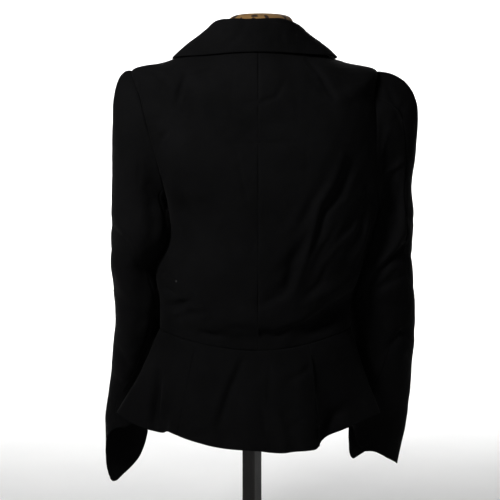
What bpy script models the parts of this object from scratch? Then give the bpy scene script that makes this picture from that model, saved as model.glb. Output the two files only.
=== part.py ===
"""A women's blazer with a wide collar, a waist seam and a flared peplum, worn by a limbless
dress form on a square post and a round base.

Metres, +Z up. The origin is the centre of the base's underside. The blazer's front faces -Y
and the wearer's left is +X. Tables are in millimetres and are turned to metres when read.
"""

import math
from collections import namedtuple

import bmesh
import bpy
from mathutils import Matrix, Vector

MM = 0.001

# ---------------------------------------------------------------- driving dimensions (metres)

WALL = 0.0016                # cloth of every panel, with its seam allowance and interlining
SEAM_GAP = 0.0003            # between two pieces that are sewn together
SEAM_MARGIN = 0.00002        # a little more, against rounding
ARMHOLE_GAP = 0.0007         # the sleeves' turned seams take more where they meet the body

BASE_RADIUS = 0.160
BASE_THICKNESS = 0.018
BASE_ROUNDING = 0.005
POST_SIDE = 0.0226           # the post is square, and stands at an angle to the blazer
POST_TURN = 16.0             # degrees from the back towards the wearer's right
POST_ROUNDING = 0.0012

BUTTON_RADIUS = 0.011
BUTTON_RIM = 0.0018
BUTTON_THICKNESS = 0.0042
BUTTON_DISH = 0.0012
BUTTON_HOLE_RADIUS = 0.0011
BUTTON_HOLE_SPREAD = 0.0028
BUTTON_STEPS = 20
BUTTON_X = 0.0
BUTTON_Z = 0.488

# steps along the panels
SHOULDER_STEPS = 6           # from the neck to the shoulder point
ARMHOLE_STEPS = 10           # from the shoulder point to the underarm
SIDE_STEPS = 13              # from the underarm to the waist
BACK_STEPS = 16              # from the centre back to the side
FRONT_STEPS = 10             # from the side to the front edge
PEPLUM_STEPS = 8             # from the waist to the hem
HEAD_STEPS = 7               # from the armhole to the upper sleeve
SLEEVE_STEPS = 16            # from the upper sleeve to the cuff

# ---------------------------------------------------------------- tables (millimetres, degrees)

# The bodice has a row of cloth for each station, from the neck (0) over the shoulder point (3)
# and the underarm (9) to the waist seam (13).
SHOULDER_POINT = 3
UNDERARM = 9
WAIST = 13

CENTRE_X = -9.0              # the centre back seam stands a little to the wearer's right

# centre back line: depth and height at each station
CentreBack = namedtuple("CentreBack", "station y z")
CENTRE_BACK = [CentreBack(*row) for row in (
    (0, 58, 856), (1, 73, 832), (2, 85, 806), (3, 93, 778), (4, 98, 751), (5, 102, 722),
    (6, 105, 690), (7, 106, 657), (8, 106, 633), (9, 105, 610), (10, 102, 562), (11, 99, 510),
    (11.6, 98, 478), (12, 100, 459), (12.4, 99, 444), (12.7, 93, 430), (13, 92, 411))]

# the back panels' outer edges: shoulder seam, back of the armhole, side seam.
# turn is the way the cloth heads there, from sideways (0) to straight forward (90).
Edge = namedtuple("Edge", "station x y z turn")
BACK_EDGE_LEFT = [Edge(*row) for row in (
    (0, 66, 8, 866, 90), (1, 102, 3, 848, 90), (2, 140, 0, 836.5, 90), (3, 182, 0, 826, 90),
    (4, 171, 27, 792, 64), (5, 160, 44, 752, 56), (6, 148, 53, 710, 55), (7, 138, 50, 672, 62),
    (8, 131, 36, 641, 76), (9, 128, 12, 619, 88), (10, 125, 9, 572, 90), (11, 147, 9, 522, 90),
    (12, 142, 9, 475, 90), (13, 142, 8, 432, 90))]
BACK_EDGE_RIGHT = [Edge(*row) for row in (
    (0, -82, 8, 866, 90), (1, -112, 3, 848, 90), (2, -147, 0, 836.5, 90), (3, -188, 0, 825, 90),
    (4, -184, 27, 790, 60), (5, -185, 44, 752, 50), (6, -186, 52, 712, 46), (7, -187, 54, 672, 48),
    (8, -190, 50, 640, 55), (9, -190, 40, 614, 66), (10, -179, 43, 572, 72),
    (11, -165, 38, 525, 78), (12, -154, 22, 480, 84), (13, -152, 10, 436, 88))]

# the front panels' outer edges, where they differ from the back's: the front of the armhole.
# turn goes on from straight forward (90) to straight across the chest (180).
FRONT_EDGE_LEFT = [Edge(*row) for row in (
    (0, 66, 8, 866, 92), (1, 102, 3, 848, 92), (2, 140, 0, 836.5, 92), (3, 182, 0, 826, 96),
    (4, 166, -24, 792, 118), (5, 154, -42, 752, 128), (6, 146, -50, 708, 132),
    (7, 142, -42, 666, 126), (8, 135, -16, 636, 108), (9, 128, 12, 619, 96), (10, 125, 9, 572, 92),
    (11, 147, 9, 522, 90), (12, 142, 9, 475, 90), (13, 142, 8, 432, 90))]
FRONT_EDGE_RIGHT = [Edge(*row) for row in (
    (0, -82, 8, 866, 92), (1, -112, 3, 848, 92), (2, -147, 0, 836.5, 92), (3, -188, 0, 825, 96),
    (4, -176, -24, 790, 118), (5, -165, -42, 752, 128), (6, -158, -50, 708, 132),
    (7, -158, -42, 664, 132), (8, -170, -8, 632, 140), (9, -190, 40, 614, 138),
    (10, -179, 43, 572, 132), (11, -165, 38, 525, 124), (12, -154, 22, 480, 106),
    (13, -152, 10, 436, 92))]

# the front panels' inner edges: the roll line of the lapel, then the buttoned front edge,
# which passes the centre so that the right front laps over the left. x is out from the centre.
FrontEdge = namedtuple("FrontEdge", "station x y z")
FRONT_EDGE = [FrontEdge(*row) for row in (
    (0, 67, -4, 862), (1, 63, -26, 841), (2, 58, -48, 815), (3, 52, -68, 786), (4, 46, -86, 756),
    (5, 39, -102, 722), (6, 31, -115, 686), (7, 22, -123, 650), (8, 14, -127, 622),
    (9, 5, -128, 594), (10, -12, -126, 556), (11, -22, -121, 515), (12, -22, -118, 466),
    (13, -22, -116, 420))]
FRONT_FLAT = 22.0            # the cloth runs nearly flat for this far before its front edge
FRONT_RECEDE = 1.7           # and turns back by this much in it
NECK_CENTRE_X = -8.0         # the neck opening's middle; the roll lines start from it
LAP = 1.4                    # the fronts part by this much, each way, where they overlap
LAP_HALF_WIDTH = 26.0        # out to here from the centre
LAP_FADE = 28.0              # and come together again over this width
HEM_PARTING = 0.8            # the share by which the peplum's lap opens more at the hem

# soft folds in the back, as troughs (depth over 0) and ridges (under 0) along short lines,
# seen from behind: x and z of each bend, then the depth and the half width.
Fold = namedtuple("Fold", "line depth width")
BACK_FOLDS = [Fold(*row) for row in (
    (((-97, 657), (-83, 620), (-70, 593)), 3.5, 12.0),
    (((-80, 585), (-62, 545), (-52, 508), (-15, 482)), 5.5, 12.0),
    (((-148, 694), (-133, 642), (-104, 612), (-97, 568), (-78, 530)), 5.5, 12.0),
    (((-167, 664), (-162, 612), (-137, 580), (-108, 545), (-72, 474)), 5.0, 12.0),
    (((-178, 635), (-169, 590), (-147, 553), (-130, 524)), 3.5, 10.0),
    (((-142, 476), (-118, 452), (-76, 436)), 10.0, 14.0),
    (((101, 815), (92, 790), (85, 764)), 3.0, 10.0),
    (((105, 655), (84, 600), (64, 560)), 2.5, 12.0),
    (((136, 484), (108, 473), (84, 456)), 4.0, 9.0),
    (((-82, 824), (-104, 800), (-120, 768)), 3.0, 9.0),
)]

# the peplum's hem before its flutes, and each flute's angle from the centre back
HEM_HALF_WIDTH = 184.0
HEM_BACK_Y = 119.0
HEM_FRONT_Y = -150.0
HEM_CENTRE_Y = -5.0
Flute = namedtuple("Flute", "angle reach spread")
PEPLUM_FLUTES = [Flute(*row) for row in (
    (80, 30, 8.5), (62, -13, 6), (107, -30, 13), (42, 5, 9), (18, -6, 8), (0, 4, 8),
    (-20, 6, 7), (-37, 7, 6), (-54, -17, 8), (-79, 20, 8), (-106, -30, 13), (140, 7, 12),
    (-140, 7, 12), (160, -4, 9), (-160, -4, 9))]
HemHeight = namedtuple("HemHeight", "angle z")
HEM_HEIGHTS = [HemHeight(*row) for row in (
    (-180, 282), (-140, 286), (-106, 300), (-79, 304), (-60, 284), (-52, 273), (-45, 266),
    (-34, 264), (-15, 263), (0, 267), (20, 267), (34, 275), (46, 283), (56, 286), (64, 280),
    (72, 289),
    (80, 304), (107, 296), (140, 286), (180, 282))]
PEPLUM_SEAM_X = 87.0         # the two side-back seams of the peplum, measured at the waist

# the sleeves hang from the armholes: centre, half widths and turn of each section
Section = namedtuple("Section", "z x y half_x half_y turn")
SLEEVE_LEFT = [Section(*row) for row in (
    (600, 173, 6, 43, 58, 0), (565, 172.5, 2, 44, 58, -6), (528, 182.5, -4, 33.5, 56, -8),
    (478, 179.5, -14, 34, 53, 0), (438, 181.5, -24, 33, 51, 0), (379, 190, -45, 31, 47, 0),
    (329, 197, -62, 30, 44, 4), (275, 204.5, -76, 31.5, 41, 8), (215, 202.5, -86, 35.5, 39, 10))]
SLEEVE_RIGHT = [Section(*row) for row in (
    (600, -210.5, -12, 38.5, 54, 4), (560, -202.5, -12, 45.5, 54, 0), (520, -203, -14, 46, 54, 0),
    (487, -202, -22, 51, 53, 0), (423, -207, -34, 49, 49, 0), (352, -209, -54, 45, 44, 0),
    (300, -205, -67, 45.5, 39, 0), (257, -201, -76, 44.5, 35, 0), (212, -196, -82, 40, 33, 0))]
# how far the cuff edge drops or rises from its last section, by the angle round the sleeve
Cuff = namedtuple("Cuff", "angle drop")
CUFF_LEFT = [Cuff(*row) for row in (
    (0, -12), (45, -42), (90, -50), (135, -70), (180, -40), (225, 14), (270, 46), (315, 56),
    (360, -12))]
CUFF_RIGHT = [Cuff(*row) for row in (
    (0, 19), (45, 6), (90, -10), (130, -20), (158, -52), (185, -30), (207, 10), (230, 14),
    (255, 6), (285, 8), (315, 16), (360, 19))]
SLEEVE_FOLDS_LEFT = [Fold(*row) for row in (
    (((214, 574), (190, 540), (158, 500)), 5.0, 13.0),
    (((150, 668), (146, 618), (150, 560)), 3.0, 10.0),
    (((196, 470), (172, 452), (160, 440)), 4.0, 9.0),
    (((212, 400), (196, 372), (180, 352)), 3.0, 9.0),
)]
SLEEVE_FOLDS_RIGHT = [Fold(*row) for row in (
    (((-222, 735), (-216, 680), (-212, 610), (-204, 555)), 11.0, 17.0),
    (((-240, 556), (-214, 522), (-184, 498)), 7.0, 14.0),
    (((-236, 466), (-214, 470), (-186, 474)), 3.0, 12.0),
    (((-240, 430), (-226, 420), (-206, 396)), 4.0, 8.0),
)]
# sleeve heads, and the angle round the sleeve at which the hind seam runs
HEAD_PULL_LEFT = 0.62        # how far the sleeve heads stand out past the shoulder
HEAD_PULL_RIGHT = 1.42
HEAD_RISE_LEFT = 0.20        # and how steeply they rise from it
HEAD_RISE_RIGHT = -0.08
HEAD_DRAW_LEFT = 0.12        # and how far they come back in above the upper arm
HEAD_DRAW_RIGHT = 0.20
UNDERARM_PULL = 1.1         # how far the cloth stands out below the armhole
HIND_COLUMN_LEFT = 8         # the hind seam leaves the armhole at this column of cloth
HIND_COLUMN_RIGHT = 2
UNDER_COLUMNS = 8            # columns in an under sleeve
# lag is how far the columns opposite the hind seam are held back, towards the underarm
HindSeam = namedtuple("HindSeam", "z angle lag")
HIND_SEAM_LEFT = [HindSeam(*row) for row in (
    (215, 46, 0), (275, 60, 0), (304, 76, 0), (348, 102, 0), (400, 124, 0), (478, 144, 0),
    (529, 150, 4), (600, 152, 12))]
HIND_SEAM_RIGHT = [HindSeam(*row) for row in (
    (212, 112, 0), (328, 113, 0), (363, 97, 0), (400, 85, 0), (424, 69, 4), (449, 58, 12),
    (480, 46, 0), (540, 45, 10), (600, 44, 65))]

LEFT_ARM = {"sections": SLEEVE_LEFT, "cuff": CUFF_LEFT, "folds": SLEEVE_FOLDS_LEFT,
            "seam": HIND_SEAM_LEFT, "hind_column": HIND_COLUMN_LEFT,
            "head_pull": HEAD_PULL_LEFT, "head_rise": HEAD_RISE_LEFT,
            "head_draw": HEAD_DRAW_LEFT}
RIGHT_ARM = {"sections": SLEEVE_RIGHT, "cuff": CUFF_RIGHT, "folds": SLEEVE_FOLDS_RIGHT,
             "seam": HIND_SEAM_RIGHT, "hind_column": HIND_COLUMN_RIGHT,
             "head_pull": HEAD_PULL_RIGHT, "head_rise": HEAD_RISE_RIGHT,
             "head_draw": HEAD_DRAW_RIGHT}

# collar: seam to the neck, top of the roll, and outer edge, from the centre back to the notch
Collar = namedtuple("Collar", "seam_x seam_y seam_z roll_x roll_y roll_z edge_x edge_y edge_z")
COLLAR_LEFT = [Collar(*row) for row in (
    (-9, 57, 857.5, -9, 62, 900, -9, 66, 851),
    (26, 54, 859, 24, 58, 900.5, 29, 62, 850),
    (52, 36, 863, 50, 42, 898, 78, 44, 846.5),
    (65, 8, 868, 65, 12, 889, 117, 14, 845.5),
    (65, -8, 862, 66, -12, 877, 119, -20, 842),
    (62, -25, 846, 61, -30, 857, 102, -37, 838))]
COLLAR_RIGHT = [Collar(*row) for row in (
    (-9, 57, 857.5, -9, 62, 900, -9, 66, 851),
    (-44, 54, 859, -42, 56, 900, -47, 62, 850),
    (-69, 36, 863, -67, 39, 893, -92, 44, 848),
    (-81, 8, 868, -82, 12, 882.5, -127, 14, 846.5),
    (-81, -8, 862, -82, -12, 875, -127, -20, 844),
    (-78, -25, 846, -77, -30, 856, -116, -38, 838))]
COLLAR_ROLL = 3.0            # half the width of the fold at the top of the collar
COLLAR_BULGE = 0.4           # how round its fall is, as a share of that

# lapels: how wide each is at stations along the roll line
LapelWidth = namedtuple("LapelWidth", "station width")
LAPEL_WIDTHS = [LapelWidth(*row) for row in (
    (1.25, 62), (1.9, 86), (3, 78), (5, 62), (7, 46), (9, 28), (10.6, 9))]
LAPEL_LIFT = 1.9             # between a lapel and the front that it lies on
LAPEL_END_LEFT = 9.1         # the left lapel goes under the right front here
LAPEL_END_RIGHT = 10.4       # and the right one ends at the button

# the dress form, round its own axis: back, side and front of each station's ring.
# plate is half the depth of the flat arm plate.
Form = namedtuple("Form", "station axis_x back_y back_z side_x side_y side_z plate front_y front_z")
FORM = [Form(*row) for row in (
    (0, -8, 54, 854, 70, 8, 860, 0, -31, 832), (1, -5, 70, 830, 104, 3, 844.5, 0, -42, 804),
    (2, -3.5, 81, 804, 141, 0, 833.5, 2, -60, 776), (3, -3, 88, 776, 154, 0, 818, 10, -80, 750),
    (4, -2, 92, 744, 152, 2, 784, 24, -94, 718), (5, -2, 95, 706, 144, 4, 740, 32, -104, 684),
    (6, -2, 96, 664, 134, 4, 692, 32, -110, 652), (7, -2, 95, 620, 124, 4, 646, 22, -112, 616),
    (8, -2, 92, 572, 120, 2, 590, 6, -114, 572), (9, -1, 88, 520, 118, 0, 528, 0, -108, 522),
    (10, -1, 86, 470, 121, 0, 472, 0, -105, 472), (11, 0, 86, 420, 126, 0, 420, 0, -106, 420),
    (12, 0, 94, 366, 138, 0, 366, 0, -110, 366), (13, 0, 100, 312, 146, 0, 312, 0, -112, 312))]
FORM_NECK = [  # height, half width, back and front of each ring, from the neck's foot to its top
    (868, 57, 48, -36), (884, 52, 44, -36), (900, 50, 43, -36), (907, 44, 37, -32),
    (910, 29, 24, -20)]
FORM_NECK_X = -13.0
FORM_TOP_Z = 911
FORM_STEPS = 7               # columns in a quarter of the form's ring
FORM_ROWS = 21
FORM_CHEST_TURN = 108        # the chest slopes in from the arm plate
PLATE_STEPS = 2


# ---------------------------------------------------------------- curves

def smooth(table, column, key, at):
    """Read a column of a table at any place along its key, on a smooth curve through its rows."""
    keys = [getattr(row, key) for row in table]
    values = [getattr(row, column) for row in table]
    at = min(max(at, keys[0]), keys[-1])
    last = len(keys) - 2
    i = next((k for k in range(last) if at < keys[k + 1]), last)
    slopes = []
    for k in (i, i + 1):
        before, after = max(k - 1, 0), min(k + 1, last + 1)
        slopes.append((values[after] - values[before]) / (keys[after] - keys[before]))
    span = keys[i + 1] - keys[i]
    t = (at - keys[i]) / span
    rise = 3 * t * t - 2 * t * t * t
    start = slopes[0] * span * (t - 2 * t * t + t * t * t)
    end = slopes[1] * span * (t * t * t - t * t)
    return values[i] + (values[i + 1] - values[i]) * rise + start + end


def point_at(table, station):
    """The x, y, z of a table at a station, in metres."""
    return Vector([smooth(table, axis, "station", station) for axis in "xyz"]) * MM


def heading(turn, side):
    """A level direction: 0 sideways, 90 forward, 180 back to the centre."""
    angle = math.radians(turn)
    return Vector((side * math.cos(angle), -math.sin(angle), 0.0))


def arc(start, start_way, end, end_way, steps):
    """Points on a smooth curve that leaves start one way and reaches end another way."""
    chord = end - start
    pull_start = start_way * max(1.5 * abs(chord.dot(start_way)), 0.5 * chord.length)
    pull_end = end_way * max(1.5 * abs(chord.dot(end_way)), 0.5 * chord.length)
    points = []
    for k in range(steps + 1):
        t = k / steps
        rise = 3 * t * t - 2 * t * t * t
        points.append(start + chord * rise
                      + pull_start * (t - 2 * t * t + t * t * t)
                      + pull_end * (t * t * t - t * t))
    return points


def distance_to_line(x, z, line):
    """How far a point seen from behind is from a bent line, and how near it is to its ends."""
    best, along = 1e9, 0.0
    for k, (a, b) in enumerate(zip(line, line[1:])):
        dx, dz = b[0] - a[0], b[1] - a[1]
        t = ((x - a[0]) * dx + (z - a[1]) * dz) / (dx * dx + dz * dz)
        t = min(max(t, 0.0), 1.0)
        gap = math.hypot(x - a[0] - t * dx, z - a[1] - t * dz)
        if gap < best:
            best, along = gap, (k + t) / (len(line) - 1)
    return best, along


def fold_depth(folds, x, z):
    """The sum of all folds at a point seen from behind, in millimetres."""
    depth = 0.0
    for fold in folds:
        gap, along = distance_to_line(x, z, fold.line)
        fade = 0.35 + 0.65 * math.sin(math.pi * along)
        depth += fold.depth * fade * math.exp(-(gap / fold.width) ** 2)
    return depth


def pressed(point, outward, folds):
    """A point moved in along the outward direction by the folds that cross it."""
    depth = fold_depth(folds, point.x / MM, point.z / MM)
    return point - outward * depth * MM


# ---------------------------------------------------------------- the bodice

def stations():
    """The stations of the bodice's rows, from the neck to the waist."""
    rows = [SHOULDER_POINT * k / SHOULDER_STEPS for k in range(SHOULDER_STEPS)]
    reach = UNDERARM - SHOULDER_POINT
    rows += [SHOULDER_POINT + reach * k / ARMHOLE_STEPS for k in range(ARMHOLE_STEPS)]
    reach = WAIST - UNDERARM
    return rows + [UNDERARM + reach * k / SIDE_STEPS for k in range(SIDE_STEPS + 1)]


ARMHOLE_ROW = SHOULDER_STEPS
UNDERARM_ROW = SHOULDER_STEPS + ARMHOLE_STEPS


def torso_outward(point):
    """Straight out of the torso at a point of its cloth."""
    way = Vector((point.x / 0.150 ** 2, point.y / 0.105 ** 2, 0.0))
    return way.normalized()


def back_panel(edge, side):
    """Rows from the centre back to the shoulder seam, armhole and side seam."""
    grid = []
    for station in stations():
        centre = Vector((CENTRE_X, smooth(CENTRE_BACK, "y", "station", station),
                         smooth(CENTRE_BACK, "z", "station", station))) * MM
        turn = smooth(edge, "turn", "station", station)
        row = arc(centre, heading(0, side), point_at(edge, station), heading(turn, side),
                  BACK_STEPS)
        grid.append([pressed(point, torso_outward(point), BACK_FOLDS) for point in row])
    return grid


def front_panel(edge, back, side, lap):
    """Rows from the side seam to the roll line and the front edge."""
    grid = []
    for k, station in enumerate(stations()):
        inner = point_at(FRONT_EDGE, station)
        inner.x = side * inner.x + NECK_CENTRE_X * MM * max(0.0, 1.0 - station / UNDERARM)
        turn = smooth(edge, "turn", "station", station)
        start = point_at(edge, station)
        flat = min(FRONT_FLAT * MM, 0.3 * (inner - start).length)
        knee = inner + Vector((side * flat, 0.0, 0.0))
        row = arc(start, heading(turn, side), knee, heading(180, side), FRONT_STEPS - 2)
        passed = max(-side * inner.x, 0.0) / (FRONT_FLAT * MM)
        inner.y += FRONT_RECEDE * MM * passed ** 3
        row += [knee.lerp(inner, 0.5), inner]
        lower = min(max((station - 8.0) / 1.4, 0.0), 1.0)
        for point in row:
            point.y -= lap * lap_share(side * point.x) * lower * LAP * MM
        if not ARMHOLE_ROW < k < UNDERARM_ROW:
            row[0] = back[k][-1].copy()
        grid.append(row)
    return grid


def lap_share(x):
    """How much of the lap's parting a point has, by its distance from the centre front."""
    return min(max(1.0 - (x / MM - LAP_HALF_WIDTH) / LAP_FADE, 0.0), 1.0)


# ---------------------------------------------------------------- peplum

def flare(angle):
    """The peplum's hem at an angle from the centre back, in millimetres."""
    a = math.radians(angle)
    depth = HEM_BACK_Y - HEM_CENTRE_Y if math.cos(a) > 0 else HEM_CENTRE_Y - HEM_FRONT_Y
    radius = 1.0 / math.hypot(math.sin(a) / HEM_HALF_WIDTH, math.cos(a) / depth)
    for flute in PEPLUM_FLUTES:
        gap = (angle - flute.angle + 180.0) % 360.0 - 180.0
        radius += flute.reach * math.exp(-(gap / flute.spread) ** 2)
    return radius


def peplum_column(top, side, lap):
    """Points from the waist seam down to the hem under one point of the bodice."""
    top = top.copy()
    top.y += lap * lap_share(side * top.x) * LAP * MM
    angle = math.degrees(math.atan2(top.x / MM, top.y / MM - HEM_CENTRE_Y))
    a = math.radians(angle)
    depth = HEM_BACK_Y - HEM_CENTRE_Y if math.cos(a) > 0 else HEM_CENTRE_Y - HEM_FRONT_Y
    plain = 1.0 / math.hypot(math.sin(a) / HEM_HALF_WIDTH, math.cos(a) / depth)
    fluted = flare(angle)
    z_hem = smooth(HEM_HEIGHTS, "z", "angle", angle)
    waist = math.hypot(top.x / MM, top.y / MM - HEM_CENTRE_Y)
    column = [top.copy()]
    for k in range(1, PEPLUM_STEPS + 1):
        t = k / PEPLUM_STEPS
        radius = waist + (plain - waist) * t ** 0.9 + (fluted - plain) * t ** 1.7
        z = top.z / MM + (z_hem - top.z / MM) * t
        point = Vector((radius * math.sin(a), HEM_CENTRE_Y + radius * math.cos(a), z)) * MM
        column.append(point)
    for k, point in enumerate(column):
        parting = LAP * (1.0 + HEM_PARTING * k / PEPLUM_STEPS)
        point.y -= lap * lap_share(side * point.x) * parting * MM
    return column


def peplum_panel(tops, side=1.0, lap=0.0):
    """A peplum panel under a run of the bodice's lowest points."""
    columns = [peplum_column(top, side, lap) for top in tops]
    return [list(row) for row in zip(*columns)]


# ---------------------------------------------------------------- sleeves

def section_point(section, angle):
    """A point of a sleeve section: 0 is its outer side, 90 its back, 180 next to the body."""
    side = 1.0 if section["x"] > 0 else -1.0
    a = math.radians(angle)
    x = side * section["half_x"] * math.cos(a)
    y = section["half_y"] * math.sin(a)
    turn = math.radians(section["turn"]) * side
    return Vector((section["x"] + x * math.cos(turn) - y * math.sin(turn),
                   section["y"] + x * math.sin(turn) + y * math.cos(turn),
                   section["z"])) * MM


def section_at(table, z):
    """A sleeve's section at a height, on smooth curves through its table."""
    rising = table[::-1]
    section = {name: smooth(rising, name, "z", z) for name in ("x", "y", "half_x", "half_y",
                                                             "turn")}
    section["z"] = z
    return section


def sleeve_angles(seam, hind_column, columns, z):
    """The angle of each column of cloth at a height, so that the hind seam keeps its own."""
    hind, lag = smooth(seam, "angle", "z", z), smooth(seam, "lag", "z", z)
    angles = []
    for k in range(columns):
        turn = (k - hind_column) / columns
        angles.append(hind + 360.0 * turn - lag * math.sin(math.pi * turn) ** 2)
    return angles


def sleeve(loop, arm, side):
    """Rings of a sleeve from the armhole's points, over the sleeve head, down to the cuff."""
    table, columns = arm["sections"], len(loop)
    top, foot = table[0].z, table[-1].z
    upper = section_at(table, top)
    angles = sleeve_angles(arm["seam"], arm["hind_column"], columns, top)
    rings, all_angles = [[point.copy() for point in loop]], [angles]
    ends = [section_point(upper, angle) for angle in angles]
    low, high = min(point.z for point in loop), max(point.z for point in loop)
    for step in range(1, HEAD_STEPS + 1):
        t = (step / HEAD_STEPS) ** 1.25
        rise = 3 * t * t - 2 * t * t * t
        ring = []
        for start, end in zip(loop, ends):
            out = (start.z - low) / (high - low)
            way = Vector((side, 0.0, arm["head_rise"] * out - 0.4 * (1.0 - out)))
            chord = (end - start).length
            reach = chord * (arm["head_pull"] * out ** 1.5 + UNDERARM_PULL * (1.0 - out))
            point = start + (end - start) * rise
            point += way.normalized() * reach * (t - 2 * t * t + t * t * t)
            down = Vector((side * arm["head_draw"] * out, 0.0, -1.0))
            point += down * chord * 1.1 * (t * t * t - t * t)
            ring.append(point)
        rings.append(ring)
        all_angles.append(angles)
    for step in range(1, SLEEVE_STEPS + 1):
        t = step / SLEEVE_STEPS
        section = section_at(table, top + (foot - top) * t)
        angles = sleeve_angles(arm["seam"], arm["hind_column"], columns, section["z"])
        all_angles.append(angles)
        ring = []
        for angle in angles:
            point = section_point(section, angle)
            drop = smooth(arm["cuff"], "drop", "angle", angle % 360.0)
            point.z -= drop * MM * max(0.0, (t - 0.6) / 0.4)
            ring.append(point)
        rings.append(ring)
    pressed_rings = [rings[0]]
    for ring, angles in list(zip(rings, all_angles))[1:]:
        centre = sum(ring, Vector()) / columns
        new_ring = []
        for point, angle in zip(ring, angles):
            outward = Vector((point.x - centre.x, point.y - centre.y, 0.0)).normalized()
            behind = max(0.0, math.sin(math.radians(angle)))
            moved = pressed(point, outward, arm["folds"])
            new_ring.append(point.lerp(moved, min(1.0, 1.6 * behind)))
        pressed_rings.append(new_ring)
    return pressed_rings


def sleeve_panels(rings, hind_column):
    """Cut a sleeve's rings at its hind and fore seams into the top and the under sleeve."""
    columns = len(rings[0])
    order = [(hind_column + k) % columns for k in range(columns + 1)]
    under = [[ring[k] for k in order[:UNDER_COLUMNS + 1]] for ring in rings]
    top = [[ring[k] for k in order[UNDER_COLUMNS:]] for ring in rings]
    return top, under


# ---------------------------------------------------------------- collar and lapels

def collar_profile(row):
    """The visible side of the collar at one place: up the stand, over the roll, down the fall."""
    seam = Vector((row["seam_x"], row["seam_y"], row["seam_z"])) * MM
    roll = Vector((row["roll_x"], row["roll_y"], row["roll_z"])) * MM
    edge = Vector((row["edge_x"], row["edge_y"], row["edge_z"])) * MM
    across = Vector((edge.x - seam.x, edge.y - seam.y, 0.0)).normalized() * COLLAR_ROLL * MM
    down = Vector((0.0, 0.0, -COLLAR_ROLL * MM))
    inner, outer = roll - across + down, roll + across + down
    bulge = (across + Vector((0, 0, COLLAR_ROLL * MM))) * COLLAR_BULGE
    return [seam, seam.lerp(inner, 0.55), inner, roll, outer,
            outer.lerp(edge, 0.3) + bulge * 0.8, outer.lerp(edge, 0.65) + bulge, edge]


def collar_grid():
    """Profiles from the right notch round the neck to the left notch."""
    half = []
    for table in (COLLAR_RIGHT, COLLAR_LEFT):
        keyed = [namedtuple("Keyed", ("place",) + Collar._fields)(k, *row)
                 for k, row in enumerate(table)]
        steps = 2 * (len(table) - 1)
        profiles = []
        for k in range(steps + 1):
            place = k / 2.0
            row = {name: smooth(keyed, name, "place", place) for name in Collar._fields}
            profiles.append(collar_profile(row))
        half.append(profiles)
    return half[0][:0:-1] + half[1]


def lapel_grid(front, side, last):
    """A lapel folded back over its front: the side that faces the front, from the roll line out."""
    rows = stations()
    grid = []
    first = LAPEL_WIDTHS[0].station
    for k, station in enumerate(rows):
        if not first <= station <= last:
            continue
        width = smooth(LAPEL_WIDTHS, "width", "station", station)
        row = front[k]
        roll = row[-1]
        back = (row[-2] - row[-1]).normalized()
        along = (front[k + 1][-1] - front[k - 1][-1]).normalized()
        out = along.cross(back) * side
        out.normalize()
        fold = [(-0.2, 0.0), (-1.0, 0.2), (-1.3, 0.9), (-0.8, 1.5), (0.5, 1.7)]
        points = [roll + (back * a + out * b) * MM for a, b in fold]
        for share in (0.15, 0.36, 0.58, 0.79, 1.0):
            on_front = walk(row[::-1], share * width * MM)
            points.append(on_front + out * LAPEL_LIFT * MM)
        grid.append(points)
    return grid


def seat_on(grid, x, z):
    """The place on a front at x and z, and the way out of it there."""
    for upper, lower in zip(grid, grid[1:]):
        for j in range(len(upper) - 1):
            a, b, c, d = upper[j], upper[j + 1], lower[j + 1], lower[j]
            if min(a.x, b.x, c.x, d.x) <= x <= max(a.x, b.x, c.x, d.x) and c.z <= z <= a.z:
                outward = (c - a).cross(b - d).normalized()
                outward = outward if outward.y < 0 else -outward
                middle = (a + b + c + d) / 4.0
                y = middle.y - ((x - middle.x) * outward.x + (z - middle.z) * outward.z) / outward.y
                return Vector((x, y, z)), outward
    raise ValueError("nothing to sit on at %.3f, %.3f" % (x, z))


def walk(points, length):
    """The place reached by walking a length along a line of points."""
    for a, b in zip(points, points[1:]):
        step = (b - a).length
        if length <= step:
            return a.lerp(b, length / step)
        length -= step
    return points[-1].copy()


# ---------------------------------------------------------------- walls

def key_of(point):
    """A point's name for finding the same point in another panel."""
    return tuple(round(value * 1e5) for value in point)


def shared_normals(grids):
    """The cloth's outward direction at every point, averaged over the panels that meet there."""
    sums = {}
    for grid in grids:
        for i in range(len(grid) - 1):
            for j in range(len(grid[0]) - 1):
                a, b = grid[i][j], grid[i][j + 1]
                c, d = grid[i + 1][j + 1], grid[i + 1][j]
                normal = (c - a).cross(b - d)
                for point in (a, b, c, d):
                    sums.setdefault(key_of(point), Vector()).__iadd__(normal)
    return {key: value.normalized() for key, value in sums.items()}


def trimmed(grid, top_gap):
    """The same panel with its edges drawn in by half a seam gap, or by more at its top."""
    rows, columns = len(grid), len(grid[0])
    new = [[point.copy() for point in row] for row in grid]
    half = SEAM_GAP / 2.0 + SEAM_MARGIN
    for i in range(rows):
        for j, inner in ((0, 1), (columns - 1, columns - 2)):
            new[i][j] += (grid[i][inner] - grid[i][j]).normalized() * half
    for j in range(columns):
        new[0][j] += (grid[1][j] - grid[0][j]).normalized() * (top_gap - half)
        new[-1][j] += (grid[-2][j] - grid[-1][j]).normalized() * half
    return new


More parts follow.
